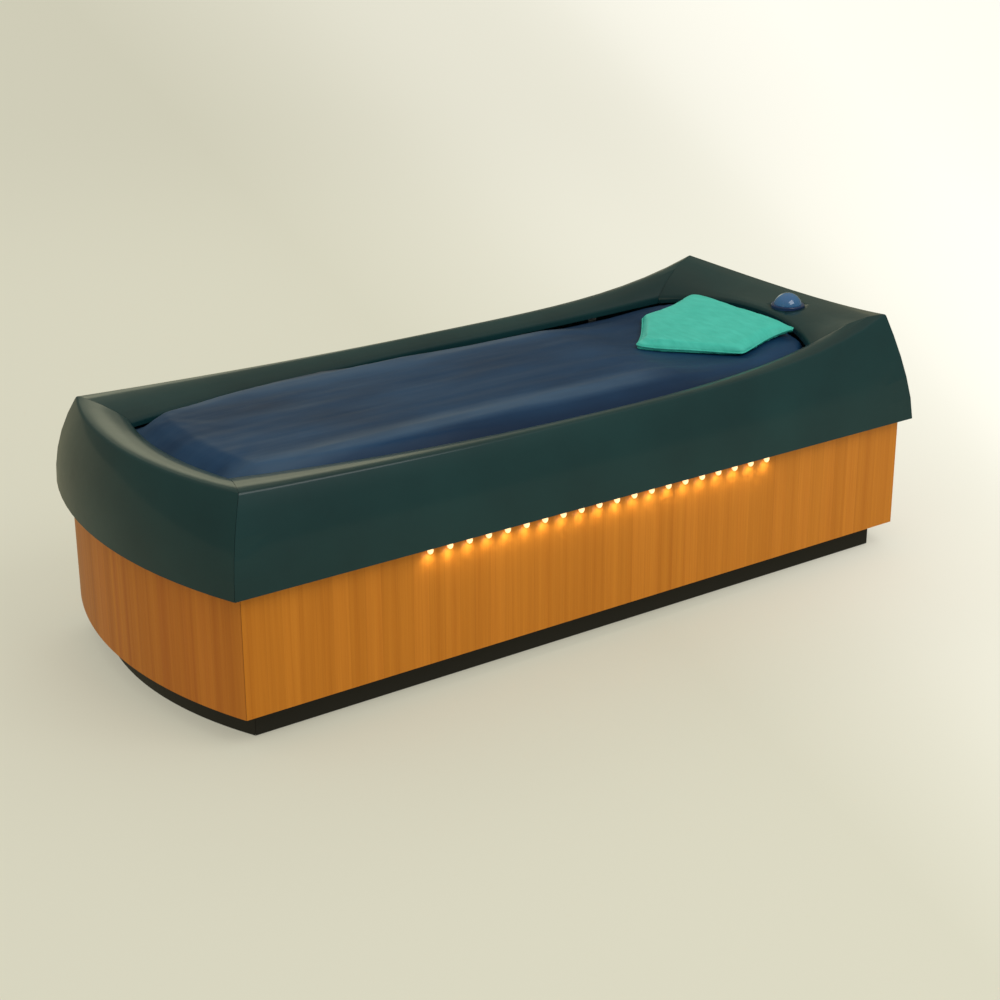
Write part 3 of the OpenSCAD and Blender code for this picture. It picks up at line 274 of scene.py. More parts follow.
# %% Strip veneer
STRIP_WIDTH = 0.045
JOINT_FROM = 0.487
JOINT_DARKNESS = 0.14


def veneer(name, along, painted_end_shade=0):
    f = Finish(name, paint(190, 112, 30), 0.46, Specular_IOR_Level=0.16)
    count = f.math("DIVIDE", f.split(f.place)[along], STRIP_WIDTH)
    tone = f.node("ShaderNodeTexWhiteNoise", noise_dimensions="1D")
    f.link(f.math("FLOOR", count), tone.inputs["W"])
    # painted_end_shade makes every tone darker: painted shade, used on the end boards
    strip_tone = f.ramp(
        tone.outputs["Value"],
        (0.0, paint(183 - painted_end_shade, 110 - painted_end_shade, 27)), (0.35, paint(186 - painted_end_shade, 113 - painted_end_shade, 29)),
        (0.7, paint(191 - painted_end_shade, 116 - painted_end_shade, 31)), (1.0, paint(196 - painted_end_shade, 120 - painted_end_shade, 34)),
    )
    across = (1, 0.05, 0.012) if along == 0 else (0.05, 1, 0.012)
    grain = f.noise(260.0, stretch=across, detail=6.0, roughness=0.7)
    streak = f.noise(42.0, stretch=across, detail=4.0)
    dark = f.mix(f.spread(grain, -0.3, 0.5), strip_tone, paint(138, 70, 6))
    warm = f.mix(f.spread(streak, -0.3, 0.6), dark, paint(214, 140, 44))
    from_middle = f.math("ABSOLUTE", f.math("SUBTRACT", f.math("FRACT", count), 0.5))
    joint = f.math("GREATER_THAN", from_middle, JOINT_FROM)
    f.colour(f.mix(f.math("MULTIPLY", joint, JOINT_DARKNESS), warm, paint(120, 60, 10)))
    f.rough(f.spread(grain, 0.3, 0.5))
    f.bump(grain, 0.12, 0.0005)
    f.bump(f.math("SUBTRACT", 1.0, joint), 0.2, 0.0003)
    return f


side_veneer = veneer("strip_veneer_side", 0)
# The end boards get painted shade: every strip tone 16 steps darker than on the sides
end_veneer = veneer("strip_veneer_end", 1, painted_end_shade=16)
print("veneer in strips of", STRIP_WIDTH, "m")

# %% [markdown]
# ## Plinth, plywood and metals
# The plinth is a dark laminate that is meant not to be seen. Birch plywood carries the bent panels and
# shows pale layers. The welded frame is powder coated, which has a fine orange-peel bump. Stainless steel
# and aluminium get a brushed look. A stretched reflection could give that too, but noise that is stretched
# along the bar needs no further setting.

# %% Boards and metals
def laminate():
    f = Finish("plinth_laminate", paint(14, 12, 10), 0.55)
    scuff = f.noise(30.0, detail=8.0, roughness=0.7)
    f.colour(f.ramp(scuff, (0.35, paint(11, 10, 8)), (0.8, paint(22, 19, 16))))
    f.rough(f.spread(scuff, 0.5, 0.7))
    f.bump(f.noise(300.0), 0.1, 0.0003)
    return f


def birch_ply():
    f = Finish("birch_plywood", paint(205, 172, 124), 0.6)
    layers = f.noise(70.0, stretch=(0.03, 0.03, 8.0), detail=2.0)
    f.colour(f.ramp(layers, (0.4, paint(176, 138, 90)), (0.6, paint(216, 186, 140))))
    f.bump(layers, 0.2, 0.0005)
    return f


def powder_coat(name, colour):
    f = Finish(name, paint(*colour), 0.42)
    f.rough(f.spread(f.noise(40.0, detail=6.0), 0.34, 0.52))
    peel = f.noise(700.0, detail=1.0)
    f.bump(peel, 0.12, 0.0003)
    lighter = tuple(min(255, c + 12) for c in colour)
    f.colour(f.ramp(f.noise(6.0), (0.3, paint(*colour)), (0.8, paint(*lighter))))
    return f


def brushed(name, colour, roughness, stretch):
    f = Finish(name, paint(*colour), roughness, Metallic=1.0)
    lines = f.noise(300.0, stretch=stretch, detail=3.0)
    f.rough(f.spread(lines, roughness - 0.1, roughness + 0.12))
    f.bump(lines, 0.06, 0.0002)
    darker = tuple(int(c * 0.86) for c in colour)
    f.colour(f.ramp(f.noise(12.0), (0.3, paint(*darker)), (0.7, paint(*colour))))
    return f


plinth_finish = laminate()
ply_finish = birch_ply()
frame_finish = powder_coat("frame_powder_coat", (92, 97, 101))
pump_finish = powder_coat("pump_enamel", (32, 58, 92))
motor_finish = powder_coat("motor_enamel", (58, 62, 66))
lever_finish = powder_coat("lever_enamel", (150, 20, 14))
steel_finish = brushed("stainless_steel", (178, 180, 182), 0.32, (0.02, 1, 1))
alu_finish = brushed("drawn_aluminium", (198, 200, 203), 0.3, (0.02, 1, 1))
brass_finish = brushed("cast_brass", (186, 146, 70), 0.34, (1, 1, 1))
print("boards and metals: 9 finishes")

# %% [markdown]
# ## Rubber, plastics and lamp lenses
# Moulded plastics differ in how much they shine and in the grain of their mould. The basin is white
# polypropylene sheet, the fittings and pipes are grey pipe plastic, and the gear boxes have a
# spark-eroded grain. Each could have a material of its own, but one function with a colour, a roughness
# and a grain covers them all. The lenses glow: they are a frosted warm white, and small lights in front
# of them, added with the studio, do the actual lighting of the wood.

# %% Plastics
def moulded(name, colour, roughness, grain, depth, **sockets):
    f = Finish(name, paint(*colour), roughness, **sockets)
    f.bump(f.noise(grain, detail=3.0), depth, 0.0004)
    f.rough(f.spread(f.noise(18.0, detail=5.0), roughness - 0.07, roughness + 0.09))
    paler = tuple(min(255, c + 10) for c in colour)
    f.colour(f.ramp(f.noise(5.0), (0.35, paint(*colour)), (0.75, paint(*paler))))
    return f


rubber_finish = moulded("black_rubber", (20, 20, 20), 0.6, 500.0, 0.15)
basin_finish = moulded("basin_sheet", (214, 217, 214), 0.4, 60.0, 0.05)
board_finish = moulded("platform_sheet", (200, 204, 206), 0.45, 90.0, 0.1)
guide_finish = moulded("guide_plastic", (206, 206, 200), 0.4, 300.0, 0.08)
fitting_finish = moulded("pipe_plastic", (126, 131, 136), 0.38, 200.0, 0.05)
blower_finish = moulded("blower_plastic", (48, 50, 53), 0.5, 620.0, 0.25)
box_finish = moulded("box_plastic", (74, 79, 82), 0.5, 620.0, 0.25)
foam_block_finish = moulded("insulation_board", (208, 193, 142), 0.8, 240.0, 0.4)
control_finish = moulded("dome_blue", (44, 94, 138), 0.16, 40.0, 0.01, Coat_Weight=0.8,
                         Coat_Roughness=0.04)
collar_finish = moulded("collar_blue", (24, 46, 84), 0.3, 200.0, 0.03, Coat_Weight=0.3)


def lamp_lens():
    f = Finish("warm_lens", paint(255, 226, 178), 0.35, Emission_Strength=1.05)
    f.shader.inputs["Emission Color"].default_value = paint(255, 214, 158)
    f.bump(f.noise(900.0), 0.3, 0.0003)
    return f


lens_finish = lamp_lens()
print("plastics and lenses: 11 finishes")

# %% [markdown]
# ## Who wears what
# The rigid pieces came in with plain colours in their material slots. A new material could be added beside
# the old one, but then no face would use it. So each slot is given the finish of what the piece is made
# of, and the slot itself stays as it was. Pieces that are replaced further on are dressed here as well.

# %% Give every rigid node its finish
def wear(finish, names):
    for name in names:
        for slot in nodes[name].material_slots:
            slot.material = finish.material


wear(casing_finish, ["casing_near", "casing_far", "casing_foot", "casing_head"])
wear(side_veneer, ["skirt_near", "skirt_far"])
wear(end_veneer, ["skirt_foot", "skirt_head"])
wear(plinth_finish, ["plinth_near", "plinth_far", "plinth_foot", "plinth_head"])
wear(ply_finish, ["skirt_battens", "end_formers", "head_shelf"])
wear(frame_finish, ["base_rails", "base_crossmembers", "frame_posts", "top_side_rails", "top_cross_rails"])
wear(rubber_finish, ["levelling_pads", "mains_gland", "water_hoses", "lift_bellows", "dome_bellows"])
wear(steel_finish, ["levelling_stems", "lock_nuts", "platform_arms", "platform_rails", "bellows_heads",
                    "water_heater"])
wear(alu_finish, ["casing_brackets", "light_rails", "membrane_clamps"])
wear(lens_finish, ["lamps"])
wear(basin_finish, ["water_basin", "basin_bottom"])
wear(foam_block_finish, ["basin_insulation", "head_wedge", "platform_foam"])
wear(guide_finish, ["guide_rails", "guide_shoes"])
wear(fitting_finish, ["bellows_bases", "basin_fittings", "air_pipes", "collar_nut", "air_line"])
wear(board_finish, ["platform_board", "service_tray"])
wear(pump_finish, ["pump_housing"])
wear(motor_finish, ["pump_motor"])
wear(brass_finish, ["pump_impeller", "drain_valve"])
wear(lever_finish, ["drain_lever"])
wear(blower_finish, ["air_blower"])
wear(box_finish, ["control_box"])
wear(collar_finish, ["dome_collar"])
wear(control_finish, ["push_dome"])
print("nodes in the frame:", len(nodes))

# %% [markdown]
# ## Smooth skins for the curved shells
# A construction model comes in as loose flat triangles, so a curved shell would show its facets in the
# gloss. More triangles would hide them, but the shape is right as it is. The cure keeps it: copy the node,
# merge the corners that lie on each other, and shade it smooth wherever neighbouring faces meet at less
# than a set angle. The copy then stands for the node.

# %% Smooth copies
SMOOTH_UNDER = 24
DOME_SMOOTH_UNDER = 30
SAME_CORNER = 0.00002


def deselect():
    bpy.ops.object.select_all(action="DESELECT")


def select_only(piece):
    deselect()
    piece.select_set(True)
    bpy.context.view_layer.objects.active = piece


def copy_of(node, name):
    """A merged copy of a node's mesh, as a new object of its own."""
    piece = bpy.data.objects.new(name, nodes[node].data.copy())
    bpy.context.collection.objects.link(piece)
    select_only(piece)
    bpy.ops.object.mode_set(mode="EDIT")
    bpy.ops.mesh.select_all(action="SELECT")
    bpy.ops.mesh.remove_doubles(threshold=SAME_CORNER)
    bpy.ops.mesh.normals_make_consistent(inside=False)
    bpy.ops.object.mode_set(mode="OBJECT")
    return piece


def body_of_node(name):
    return nodes[name]["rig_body"]


def smooth_copy(node, angle, finish):
    piece = copy_of(node, node + "_skin")
    bpy.ops.object.shade_smooth_by_angle(angle=math.radians(angle))
    piece.data.materials.clear()
    piece.data.materials.append(finish.material)
    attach(piece, body_of_node(node))
    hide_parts(node)
    print("smooth skin:", piece.name, len(piece.data.polygons), "faces")


for side in ("near", "far", "foot", "head"):
    smooth_copy("casing_" + side, SMOOTH_UNDER, casing_finish)
smooth_copy("skirt_foot", SMOOTH_UNDER, end_veneer)
smooth_copy("skirt_head", SMOOTH_UNDER, end_veneer)
smooth_copy("plinth_foot", SMOOTH_UNDER, plinth_finish)
smooth_copy("plinth_head", SMOOTH_UNDER, plinth_finish)
smooth_copy("push_dome", DOME_SMOOTH_UNDER, control_finish)
smooth_copy("dome_collar", SMOOTH_UNDER, collar_finish)

# %% [markdown]
# ## The membrane
# The sitter lies on a loose sheet of coated stretch fabric. Its edge is clamped to the basin's flange under
# the casing, and inside the opening it lies on the platform's foam and on the water, so it has long
# lazy creases along the bed and short folds that fan out from the foot corners. They could be sculpted or
# drawn in a bump, but Cloth gives creases that a real sheet could have. It wants even squares, so a grid
# is dropped onto the construction model's membrane with Shrinkwrap.

# %% Drop a grid onto the membrane's shape
SHEET_X = (-1.040, 0.951)
SHEET_Y = 0.405
SHEET_STEPS = (200, 110)
DROP_FROM = 0.8


def even_grid(name, x_range, y_half, height, steps):
    deselect()
    bpy.ops.mesh.primitive_grid_add(x_subdivisions=steps[0], y_subdivisions=steps[1], size=2)
    piece = bpy.context.object
    piece.name = name
    half = (x_range[1] - x_range[0]) / 2
    bpy.ops.object.mode_set(mode="EDIT")
    bpy.ops.transform.resize(value=(half, y_half, 1), center_override=(0, 0, 0))
    bpy.ops.transform.translate(value=(x_range[0] + half, 0, height))
    bpy.ops.object.mode_set(mode="OBJECT")
    return piece


membrane = even_grid("membrane_sheet", SHEET_X, SHEET_Y, DROP_FROM, SHEET_STEPS)
drop = membrane.modifiers.new("drop", "SHRINKWRAP")
drop.target = nodes["membrane"]
drop.wrap_method = "PROJECT"
drop.use_project_z = True
drop.use_positive_direction = False
drop.use_negative_direction = True
bpy.ops.object.modifier_apply(modifier="drop")
heights = [v.co.z for v in membrane.data.vertices]
print("membrane grid:", len(heights), "points, from", round(min(heights), 4), "to", round(max(heights), 4))

# %% [markdown]
# Where the sheet is held decides how it creases. It is fast under the casing's rim and under the head
# cushion, and free elsewhere. Held points could be picked by hand, but the opening's outline is known, so a
# few formulas give each point's freedom.

# %% Where it is held
LIP_FOOT, FOOT_HALF, FOOT_BOW, FOOT_BOW_SHARE = -0.997, 0.255, 0.034, 0.9
LIP_HEAD, HEAD_HALF, HEAD_BOW = 0.910, 0.326, 0.095
WIDEST_X, WIDEST_HALF = 0.1, 0.366
# How much narrower the opening gets, over what length, and the power of its curve
TO_THE_FOOT = (0.111, 1.063, 2.2)
TO_THE_HEAD = (0.040, 0.715, 2)
CUSHION_TIP_X, CUSHION_BACK_X, CUSHION_HALF, TIP_LENGTH = 0.468, 0.861, 0.222, 0.196
UNDER_RIM, RIM_MARGIN, CUSHION_MARGIN = 0.004, 0.05, 0.03


def opening_half(x):
    """Half width of the casing's opening at x."""
    narrower, length, power = TO_THE_FOOT if x < WIDEST_X else TO_THE_HEAD
    return WIDEST_HALF - narrower * (abs(x - WIDEST_X) / length) ** power


def ease(v):
    """From 0 to 1 as v goes from 0 to 1, with a soft start and end."""
    v = max(0.0, min(1.0, v))
    return v * v * (3 - 2 * v)


def under_cushion(x, y, margin):
    """1 under the head cushion, falling to 0 at a margin outside it."""
    wide = CUSHION_HALF * min(1.0, max(0.0, (x - CUSHION_TIP_X) / TIP_LENGTH))
    outside = max(abs(y) - wide, CUSHION_TIP_X - x, x - CUSHION_BACK_X)
    return 1 - ease(outside / margin)


def freedom(x, y):
    """0 where the sheet is fast, 1 where it is free."""
    foot = x - LIP_FOOT - FOOT_BOW * (y / FOOT_HALF) ** 2 * FOOT_BOW_SHARE
    head = LIP_HEAD - HEAD_BOW * (y / HEAD_HALF) ** 2 - x
    side = opening_half(x) - abs(y)
    gap = min(foot, head, side)
    return ease((gap + UNDER_RIM) / RIM_MARGIN) * (1 - under_cushion(x, y, CUSHION_MARGIN))


print("free points:", sum(1 for v in membrane.data.vertices if freedom(v.co.x, v.co.y) > 0.9))

# %% [markdown]
# Seeds a millimetre or two high tell the simulation which way the creases should run: along the bed in
# the middle, and out of the two foot corners like the ribs of a fan. Random seeds would give random
# creases. So the noise is squeezed across the width, and at the foot it is laid round each corner by
# angle. Each point's hold goes into a vertex group, and a free point keeps one or two percent of it,
# which stops the sheet from drifting.

# %% Seeds of the creases
SEED_ALONG, SEED_FAN = 0.0016, 0.0036
FAN_CORNER, FAN_REACH = (-1.02, 0.30), 0.55
FAN_FROM, FAN_BLEND = -0.45, 0.3
LETS_GO = 0.985


def seed(x, y):
    """How high a crease starts at a point: along the bed, and in a fan out of each foot corner."""
    along = noise.noise(Vector((x * 2.4, y * 20, 3.1))) + 0.4 * noise.noise(Vector((x * 4.6, y * 42, 8.7)))
    fan = 0.0
    for side in (-1, 1):
        dx, dy = x - FAN_CORNER[0], y - side * FAN_CORNER[1]
        reach = math.hypot(dx, dy)
        angle = math.atan2(dy, dx)
        ribs = noise.noise(Vector((angle * 5.5, reach * 2.5, 20 + side)))
        fan += ribs * ease(1 - reach / FAN_REACH)
    foot = ease((FAN_FROM - x) / FAN_BLEND)
    return SEED_ALONG * along * (1 - 0.4 * foot) + SEED_FAN * fan * foot


held = membrane.vertex_groups.new(name="held")
rest_z = {}
for v in membrane.data.vertices:
    x, y = v.co.x, v.co.y
    rest_z[v.index] = v.co.z
    free = freedom(x, y)
    held.add([v.index], 1 - LETS_GO * free, "REPLACE")
    v.co.z += seed(x, y) * free
print("highest seed:", round(1000 * max(v.co.z - rest_z[v.index] for v in membrane.data.vertices), 1), "mm")

# %% [markdown]
# A real sheet creases because there is more of it than its bed has room for. A shape key holds the sheet a
# percent or two wider than its bed, but no longer. Cloth takes that key for the sheet's own size, and since
# the edge is fast, the spare width can only rise as creases along the bed. Gravity and collisions could
# lay it on the foam, but they take long and can catch. So both are off, and the rise and fall of each
# crease is limited afterwards: a few millimetres, and less where there is foam under it.

# %% Let the sheet crease
SPARE_WIDTH = 0.016
WIDEN_ABOUT = 0.57
CREASE_STEPS = 20
CREASE_LIMIT = 0.007
FOAM_CLEAR = 0.0018
FOAM_HALF = 0.21
EDGE_RISE = 0.0035
# Where the rise over the foam's edge starts and how long it grows, then where it ends and how it fades
RIDGE = (0.19, 0.05, 0.262, 0.035)
BELOW_NODE = 0.0004


def run_cloth(piece, steps, **settings):
    """Adds Cloth without gravity or collisions, and steps through its frames."""
    cloth = piece.modifiers.new("cloth", "CLOTH")
    for key, value in settings.items():
        setattr(cloth.settings, key, value)
    cloth.settings.effector_weights.gravity = 0
    cloth.collision_settings.use_collision = False
    cloth.point_cache.frame_start = 1
    cloth.point_cache.frame_end = steps
    for frame_number in range(1, steps + 1):
        bpy.context.scene.frame_set(frame_number)


def settle(piece, spare, steps):
    """Runs Cloth on a sheet whose own width is a share more than its bed's, and applies it."""
    piece.shape_key_add(name="bed")
    own_size = piece.shape_key_add(name="own_size")
    for point, v in zip(own_size.data, piece.data.vertices):
        wider = v.co.y * (1 + spare)
        point.co = (v.co.x, wider, WIDEN_ABOUT + (v.co.z - WIDEN_ABOUT) * (1 + spare))
    run_cloth(
        piece, steps, quality=6, mass=0.25, tension_stiffness=18, compression_stiffness=18,
        shear_stiffness=8, bending_stiffness=0.25, rest_shape_key=own_size,
        vertex_group_mass="held", pin_stiffness=1.0,
    )
    select_only(piece)
    bpy.ops.object.convert(target="MESH")
    bpy.context.scene.frame_set(1)


def softened(value, limit):
    return limit * math.tanh(value / limit)


def over_edge(y):
    """1 over the long edges of the platform's foam, which carry the sheet a little higher."""
    start, growth, end, fade = RIDGE
    return ease((abs(y) - start) / growth) * (1 - ease((abs(y) - end) / fade))


def refine():
    """Gives the active piece one level of Subdivision Surface and smooth shading."""
    finer = bpy.context.object.modifiers.new("finer", "SUBSURF")
    finer.levels = finer.render_levels = 1
    bpy.ops.object.modifier_apply(modifier="finer")
    bpy.ops.object.shade_smooth()


settle(membrane, SPARE_WIDTH, CREASE_STEPS)
for v in membrane.data.vertices:
    base = rest_z[v.index]
    lift = v.co.z - base
    down = FOAM_CLEAR if abs(v.co.y) < FOAM_HALF else CREASE_LIMIT
    crease = softened(lift, CREASE_LIMIT if lift > 0 else down) + EDGE_RISE * over_edge(v.co.y)
    v.co.z = base - BELOW_NODE + crease * freedom(v.co.x, v.co.y)
refine()
sheet_area = sum(p.area for p in membrane.data.polygons)
print("membrane area:", round(sheet_area, 3), "square metres")

# %% [markdown]
# Vinyl-coated fabric is not matt: at a low angle it takes on the grey of the room, and where it rolls away
# at the sides it shows its own deep navy. A glossier shader alone would make it look wet. So the shine is
# kept low, and ramps across the bed paint two tones onto the navy: a painted highlight, paler, over the
# foam's long edges, and painted shade, deeper, along the margins in the shade of the rim. A fine fabric
# grain and slow patches of roughness keep the shine from looking like paint. The sheet is cut as a
# rectangle, 0.86 m by 2.06 m: the longest way over its surface across and along the bed, from clamp to
# clamp.

# %% Membrane finish
def coated_fabric():
    f = Finish("navy_coated_fabric", paint(8, 50, 82), 0.5, Specular_IOR_Level=0.22)
    patch = f.noise(3.6, stretch=(0.6, 1.6, 1), detail=5.0)
    navy = f.ramp(patch, (0.3, paint(8, 43, 73)), (0.75, paint(20, 62, 97)))
    along, across = f.split(f.place)[:2]
    from_middle = f.math("ABSOLUTE", across)
    # painted highlight: a paler band along the foam's long edges, which ends before the head
    ridge_highlight_band = f.ramp(from_middle, (0.17, BLACK), (0.23, WHITE), (0.262, WHITE), (0.285, BLACK))
    before_head = f.ramp(along, (0.26, WHITE), (0.4, BLACK))
    painted_highlight_share = f.math("MULTIPLY", f.math("MULTIPLY", ridge_highlight_band, before_head), f.spread(patch, 0.1, 0.85))
    # painted shade: a deeper navy along the margins, where the rim shades the sheet
    margin = f.ramp(from_middle, (0.275, BLACK), (0.32, WHITE))
    painted_rim_shade = f.mix(f.math("MULTIPLY", margin, 0.75), navy, paint(0, 34, 64))
    f.colour(f.mix(painted_highlight_share, painted_rim_shade, paint(66, 92, 116)))
    f.rough(f.spread(f.noise(14.0, stretch=(0.4, 1.5, 1), detail=5.0), 0.42, 0.6))
    streak = f.noise(7.0, stretch=(0.22, 4.5, 1), detail=3.0)
    f.bump(streak, 0.16, 0.004)
    f.bump(f.noise(1400.0, detail=1.0), 0.1, 0.0002)
    return f


membrane_finish = coated_fabric()
membrane.data.materials.append(membrane_finish.material)
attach(membrane, "bed")
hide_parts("membrane")
print("membrane:", len(membrane.data.polygons), "faces")

# %% [markdown]
# ## The head cushion
# A five-sided pad of soft foam in mint vinyl. Its top is crowned, its sides pull in between the corners,
# and a thin piping runs round the seam. The construction model's pad gives the plan and the slope it lies
# on. Sculpting could soften it, but pressure does what the filling does. So a copy is remeshed into even
# squares, blown up a little by Cloth with pressure and no gravity, and kept from sinking into the membrane
# under it.

# %% Cushion body
CUSHION_VOXEL = 0.006
SHOULDER_X = 0.664
CUSHION_MIDDLE = Vector((SHOULDER_X, 0.0, 0.6))
BACK_LENGTH = 0.197
WAIST = 0.006
PUFF_PRESSURE = 3.5
PUFF_LIMIT = 0.006
PUFF_STEPS = 18
ABOVE_MEMBRANE = 0.0008
BED_HEIGHT = 0.606
# A step up or down along the bed: its height, where it starts and how long it is
HEAD_DIP = (0.026, 0.33, 0.2)
HEAD_RISE = (0.039, 0.64, 0.23)


def even_copy(node, name, voxel):
    piece = copy_of(node, name)
    remesh = piece.modifiers.new("even", "REMESH")
    remesh.mode = "VOXEL"
    remesh.voxel_size = voxel
    bpy.ops.object.modifier_apply(modifier="even")
    return piece


def step_at(x, step):
    height, start, length = step
    return height * ease((x - start) / length)


def pillow_floor(x):
    """Height of the membrane's upper face under the head, from the construction model's sizes."""
    return BED_HEIGHT - step_at(x, HEAD_DIP) + step_at(x, HEAD_RISE)


def puff(piece, pressure, limit):
    """Blows a closed mesh up a little, and keeps each point near home and above the membrane."""
    home = [v.co.copy() for v in piece.data.vertices]
    run_cloth(
        piece, PUFF_STEPS, quality=5, mass=0.3, use_pressure=True, uniform_pressure_force=pressure,
    )
    bpy.context.view_layer.objects.active = piece
    bpy.ops.object.modifier_apply(modifier="cloth")
    bpy.context.scene.frame_set(1)
    for v, start in zip(piece.data.vertices, home):
        move = v.co - start
        if move.length > limit:
            v.co = start + move * (limit / move.length)
        v.co.z = max(v.co.z, pillow_floor(v.co.x) + ABOVE_MEMBRANE)


cushion = even_copy("head_cushion", "head_cushion_pad", CUSHION_VOXEL)
for v in cushion.data.vertices:
    along_side = ease((v.co.x - SHOULDER_X) / BACK_LENGTH)
    near_edge = ease((abs(v.co.y) / CUSHION_HALF - 0.7) / 0.3)
    waist = WAIST * math.sin(math.pi * along_side) * near_edge
    v.co.y *= 1 - waist / CUSHION_HALF
puff(cushion, PUFF_PRESSURE, PUFF_LIMIT)
refine()
print("cushion:", len(cushion.data.polygons), "faces")

# %% [markdown]
# The cover is mint vinyl, wiped down after every use, which leaves faint streaks across its width. A
# picture of vinyl would need the puffed pad unwrapped. Noise that is squeezed along the bed gives the
# streaks without that, in the colour, the shine and a low bump, and a very fine noise is the cover's grain.

# %% Cushion finish
def mint_vinyl():
    f = Finish("mint_vinyl", paint(58, 186, 150), 0.5, Specular_IOR_Level=0.3)
    wiped = f.noise(26.0, stretch=(3.2, 0.8, 1), detail=5.0)
    patch = f.noise(7.0, detail=3.0)
    tint = f.ramp(wiped, (0.3, paint(48, 172, 154)), (0.7, paint(66, 188, 170)))
    f.colour(f.mix(f.spread(patch, 0.0, 0.35), tint, paint(74, 198, 178)))
    f.rough(f.spread(wiped, 0.42, 0.6))
    f.bump(wiped, 0.12, 0.002)
    f.bump(f.noise(900.0, detail=2.0), 0.18, 0.0003)
    return f


mint_finish = mint_vinyl()
cushion.data.materials.clear()
cushion.data.materials.append(mint_finish.material)
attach(cushion, "bed")
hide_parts("head_cushion")
print("cushion finish:", mint_finish.material.name)

# %% [markdown]
# The piping is a round cord under a strip of the same vinyl, sewn into the seam a little below half the
# pad's height. A bevel on the pad's edge would follow every small bump, so the piping is a piece of its
# own: a curve with a round section, carried round the pad's outline and then made a mesh.

# %% Cushion piping
PIPING_RADIUS = 0.0024
PAD_THICKNESS = 0.025
SEAM_SHARE = 0.42
RAY_STEP = 2
RAY_WIDTH = 0.004


def closed_tube(name, points, radius):
    line = bpy.data.curves.new(name, "CURVE")
    line.dimensions = "3D"
    line.bevel_depth = radius
    line.bevel_resolution = 3
    spline = line.splines.new("POLY")
    spline.points.add(len(points) - 1)
    for place, target in zip(points, spline.points):
        target.co = (*place, 1)
    spline.use_cyclic_u = True
    piece = bpy.data.objects.new(name, line)
    bpy.context.collection.objects.link(piece)
    select_only(piece)
    bpy.ops.object.convert(target="MESH")
    bpy.ops.object.shade_smooth()
    return piece


def outline_at(piece, share):
    """The pad's outline seen from above, raised over the membrane by a share of its thickness."""
    spokes = [v.co - CUSHION_MIDDLE for v in piece.data.vertices]
    points = []
    for degrees in range(0, 360, RAY_STEP):
        angle = math.radians(degrees)
        ray = Vector((math.cos(angle), math.sin(angle), 0))
        reach = max(spoke.dot(ray) for spoke in spokes if abs(ray.cross(spoke).z) < RAY_WIDTH)
        x, y = CUSHION_MIDDLE.x + ray.x * reach, CUSHION_MIDDLE.y + ray.y * reach
        points.append((x, y, pillow_floor(x) + share * PAD_THICKNESS))
    return points


piping = closed_tube("head_cushion_piping", outline_at(cushion, SEAM_SHARE), PIPING_RADIUS)
piping.data.materials.append(mint_finish.material)
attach(piping, "bed")
print("piping:", len(piping.data.polygons), "faces")

# %% [markdown]
# ## Foams under the membrane
# The platform carries a slab of soft foam, and a foam wedge lifts the head. Both are cut blocks with
# knife-cut sides and softened edges. Cloth could let them sag, but nobody lies on them here. So Bevel
# rounds the edges, and a slow noise moves the skin by less than a millimetre, as cut foam does.

# %% Foam blocks
FOAM_EDGE = 0.004
FOAM_UNEVEN = 0.0004


def open_foam():
    f = Finish("open_cell_foam", paint(196, 196, 188), 0.9)
    cells = f.node("ShaderNodeTexVoronoi")
    cells.inputs["Scale"].default_value = 420.0
    f.link(f.place, cells.inputs["Vector"])
    f.colour(f.ramp(cells.outputs["Distance"], (0.1, paint(170, 170, 160)), (0.5, paint(206, 206, 198))))
    f.bump(cells.outputs["Distance"], 0.5, 0.0008)
    return f


def foam_pad(node, round_off, finish):
    piece = copy_of(node, node + "_pad")
    bpy.ops.object.mode_set(mode="EDIT")
    bpy.ops.mesh.tris_convert_to_quads()
    bpy.ops.object.mode_set(mode="OBJECT")
    bevel = piece.modifiers.new("soft_edge", "BEVEL")
    bevel.width = round_off
    bevel.segments = 3
    bevel.limit_method = "ANGLE"
    bevel.angle_limit = math.radians(30)
    bpy.ops.object.modifier_apply(modifier="soft_edge")
    for v in piece.data.vertices:
        v.co.z -= FOAM_UNEVEN * (1 + noise.noise(v.co * 9))
    bpy.ops.object.shade_smooth_by_angle(angle=math.radians(35))
    piece.data.materials.clear()
    piece.data.materials.append(finish.material)
    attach(piece, body_of_node(node))
    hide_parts(node)
    print("foam:", piece.name, len(piece.data.polygons), "faces")


foam_finish = open_foam()
foam_pad("platform_foam", FOAM_EDGE, foam_finish)
foam_pad("head_wedge", FOAM_EDGE, foam_finish)

# %% [markdown]
# ## Rubber bellows
# Two rubber bellows lift the platform, and a small one under the push dome works as its air pump. A
# bellows is a tube whose wall goes in and out like a wave. A wavy line could be spun round an axis. Here
# an open cylinder is cut into rings instead, because its number of folds is then all that has to be said:
# every second ring is drawn in, and Subdivision Surface rounds the folds.

# %% Bellows
LIFT_BELLOWS_X = (-0.450, 0.150)
LIFT_BELLOWS_Z = (0.1805, 0.5215)
LIFT_RADII = (0.125, 0.097)
LIFT_WALL, LIFT_FOLDS = 0.004, 7
DOME_PLACE = (0.971, -0.067)
DOME_BELLOWS_Z = (0.6417, 0.6705)
DOME_RADII = (0.014, 0.011)
DOME_WALL, DOME_FOLDS = 0.002, 4
AROUND = 64


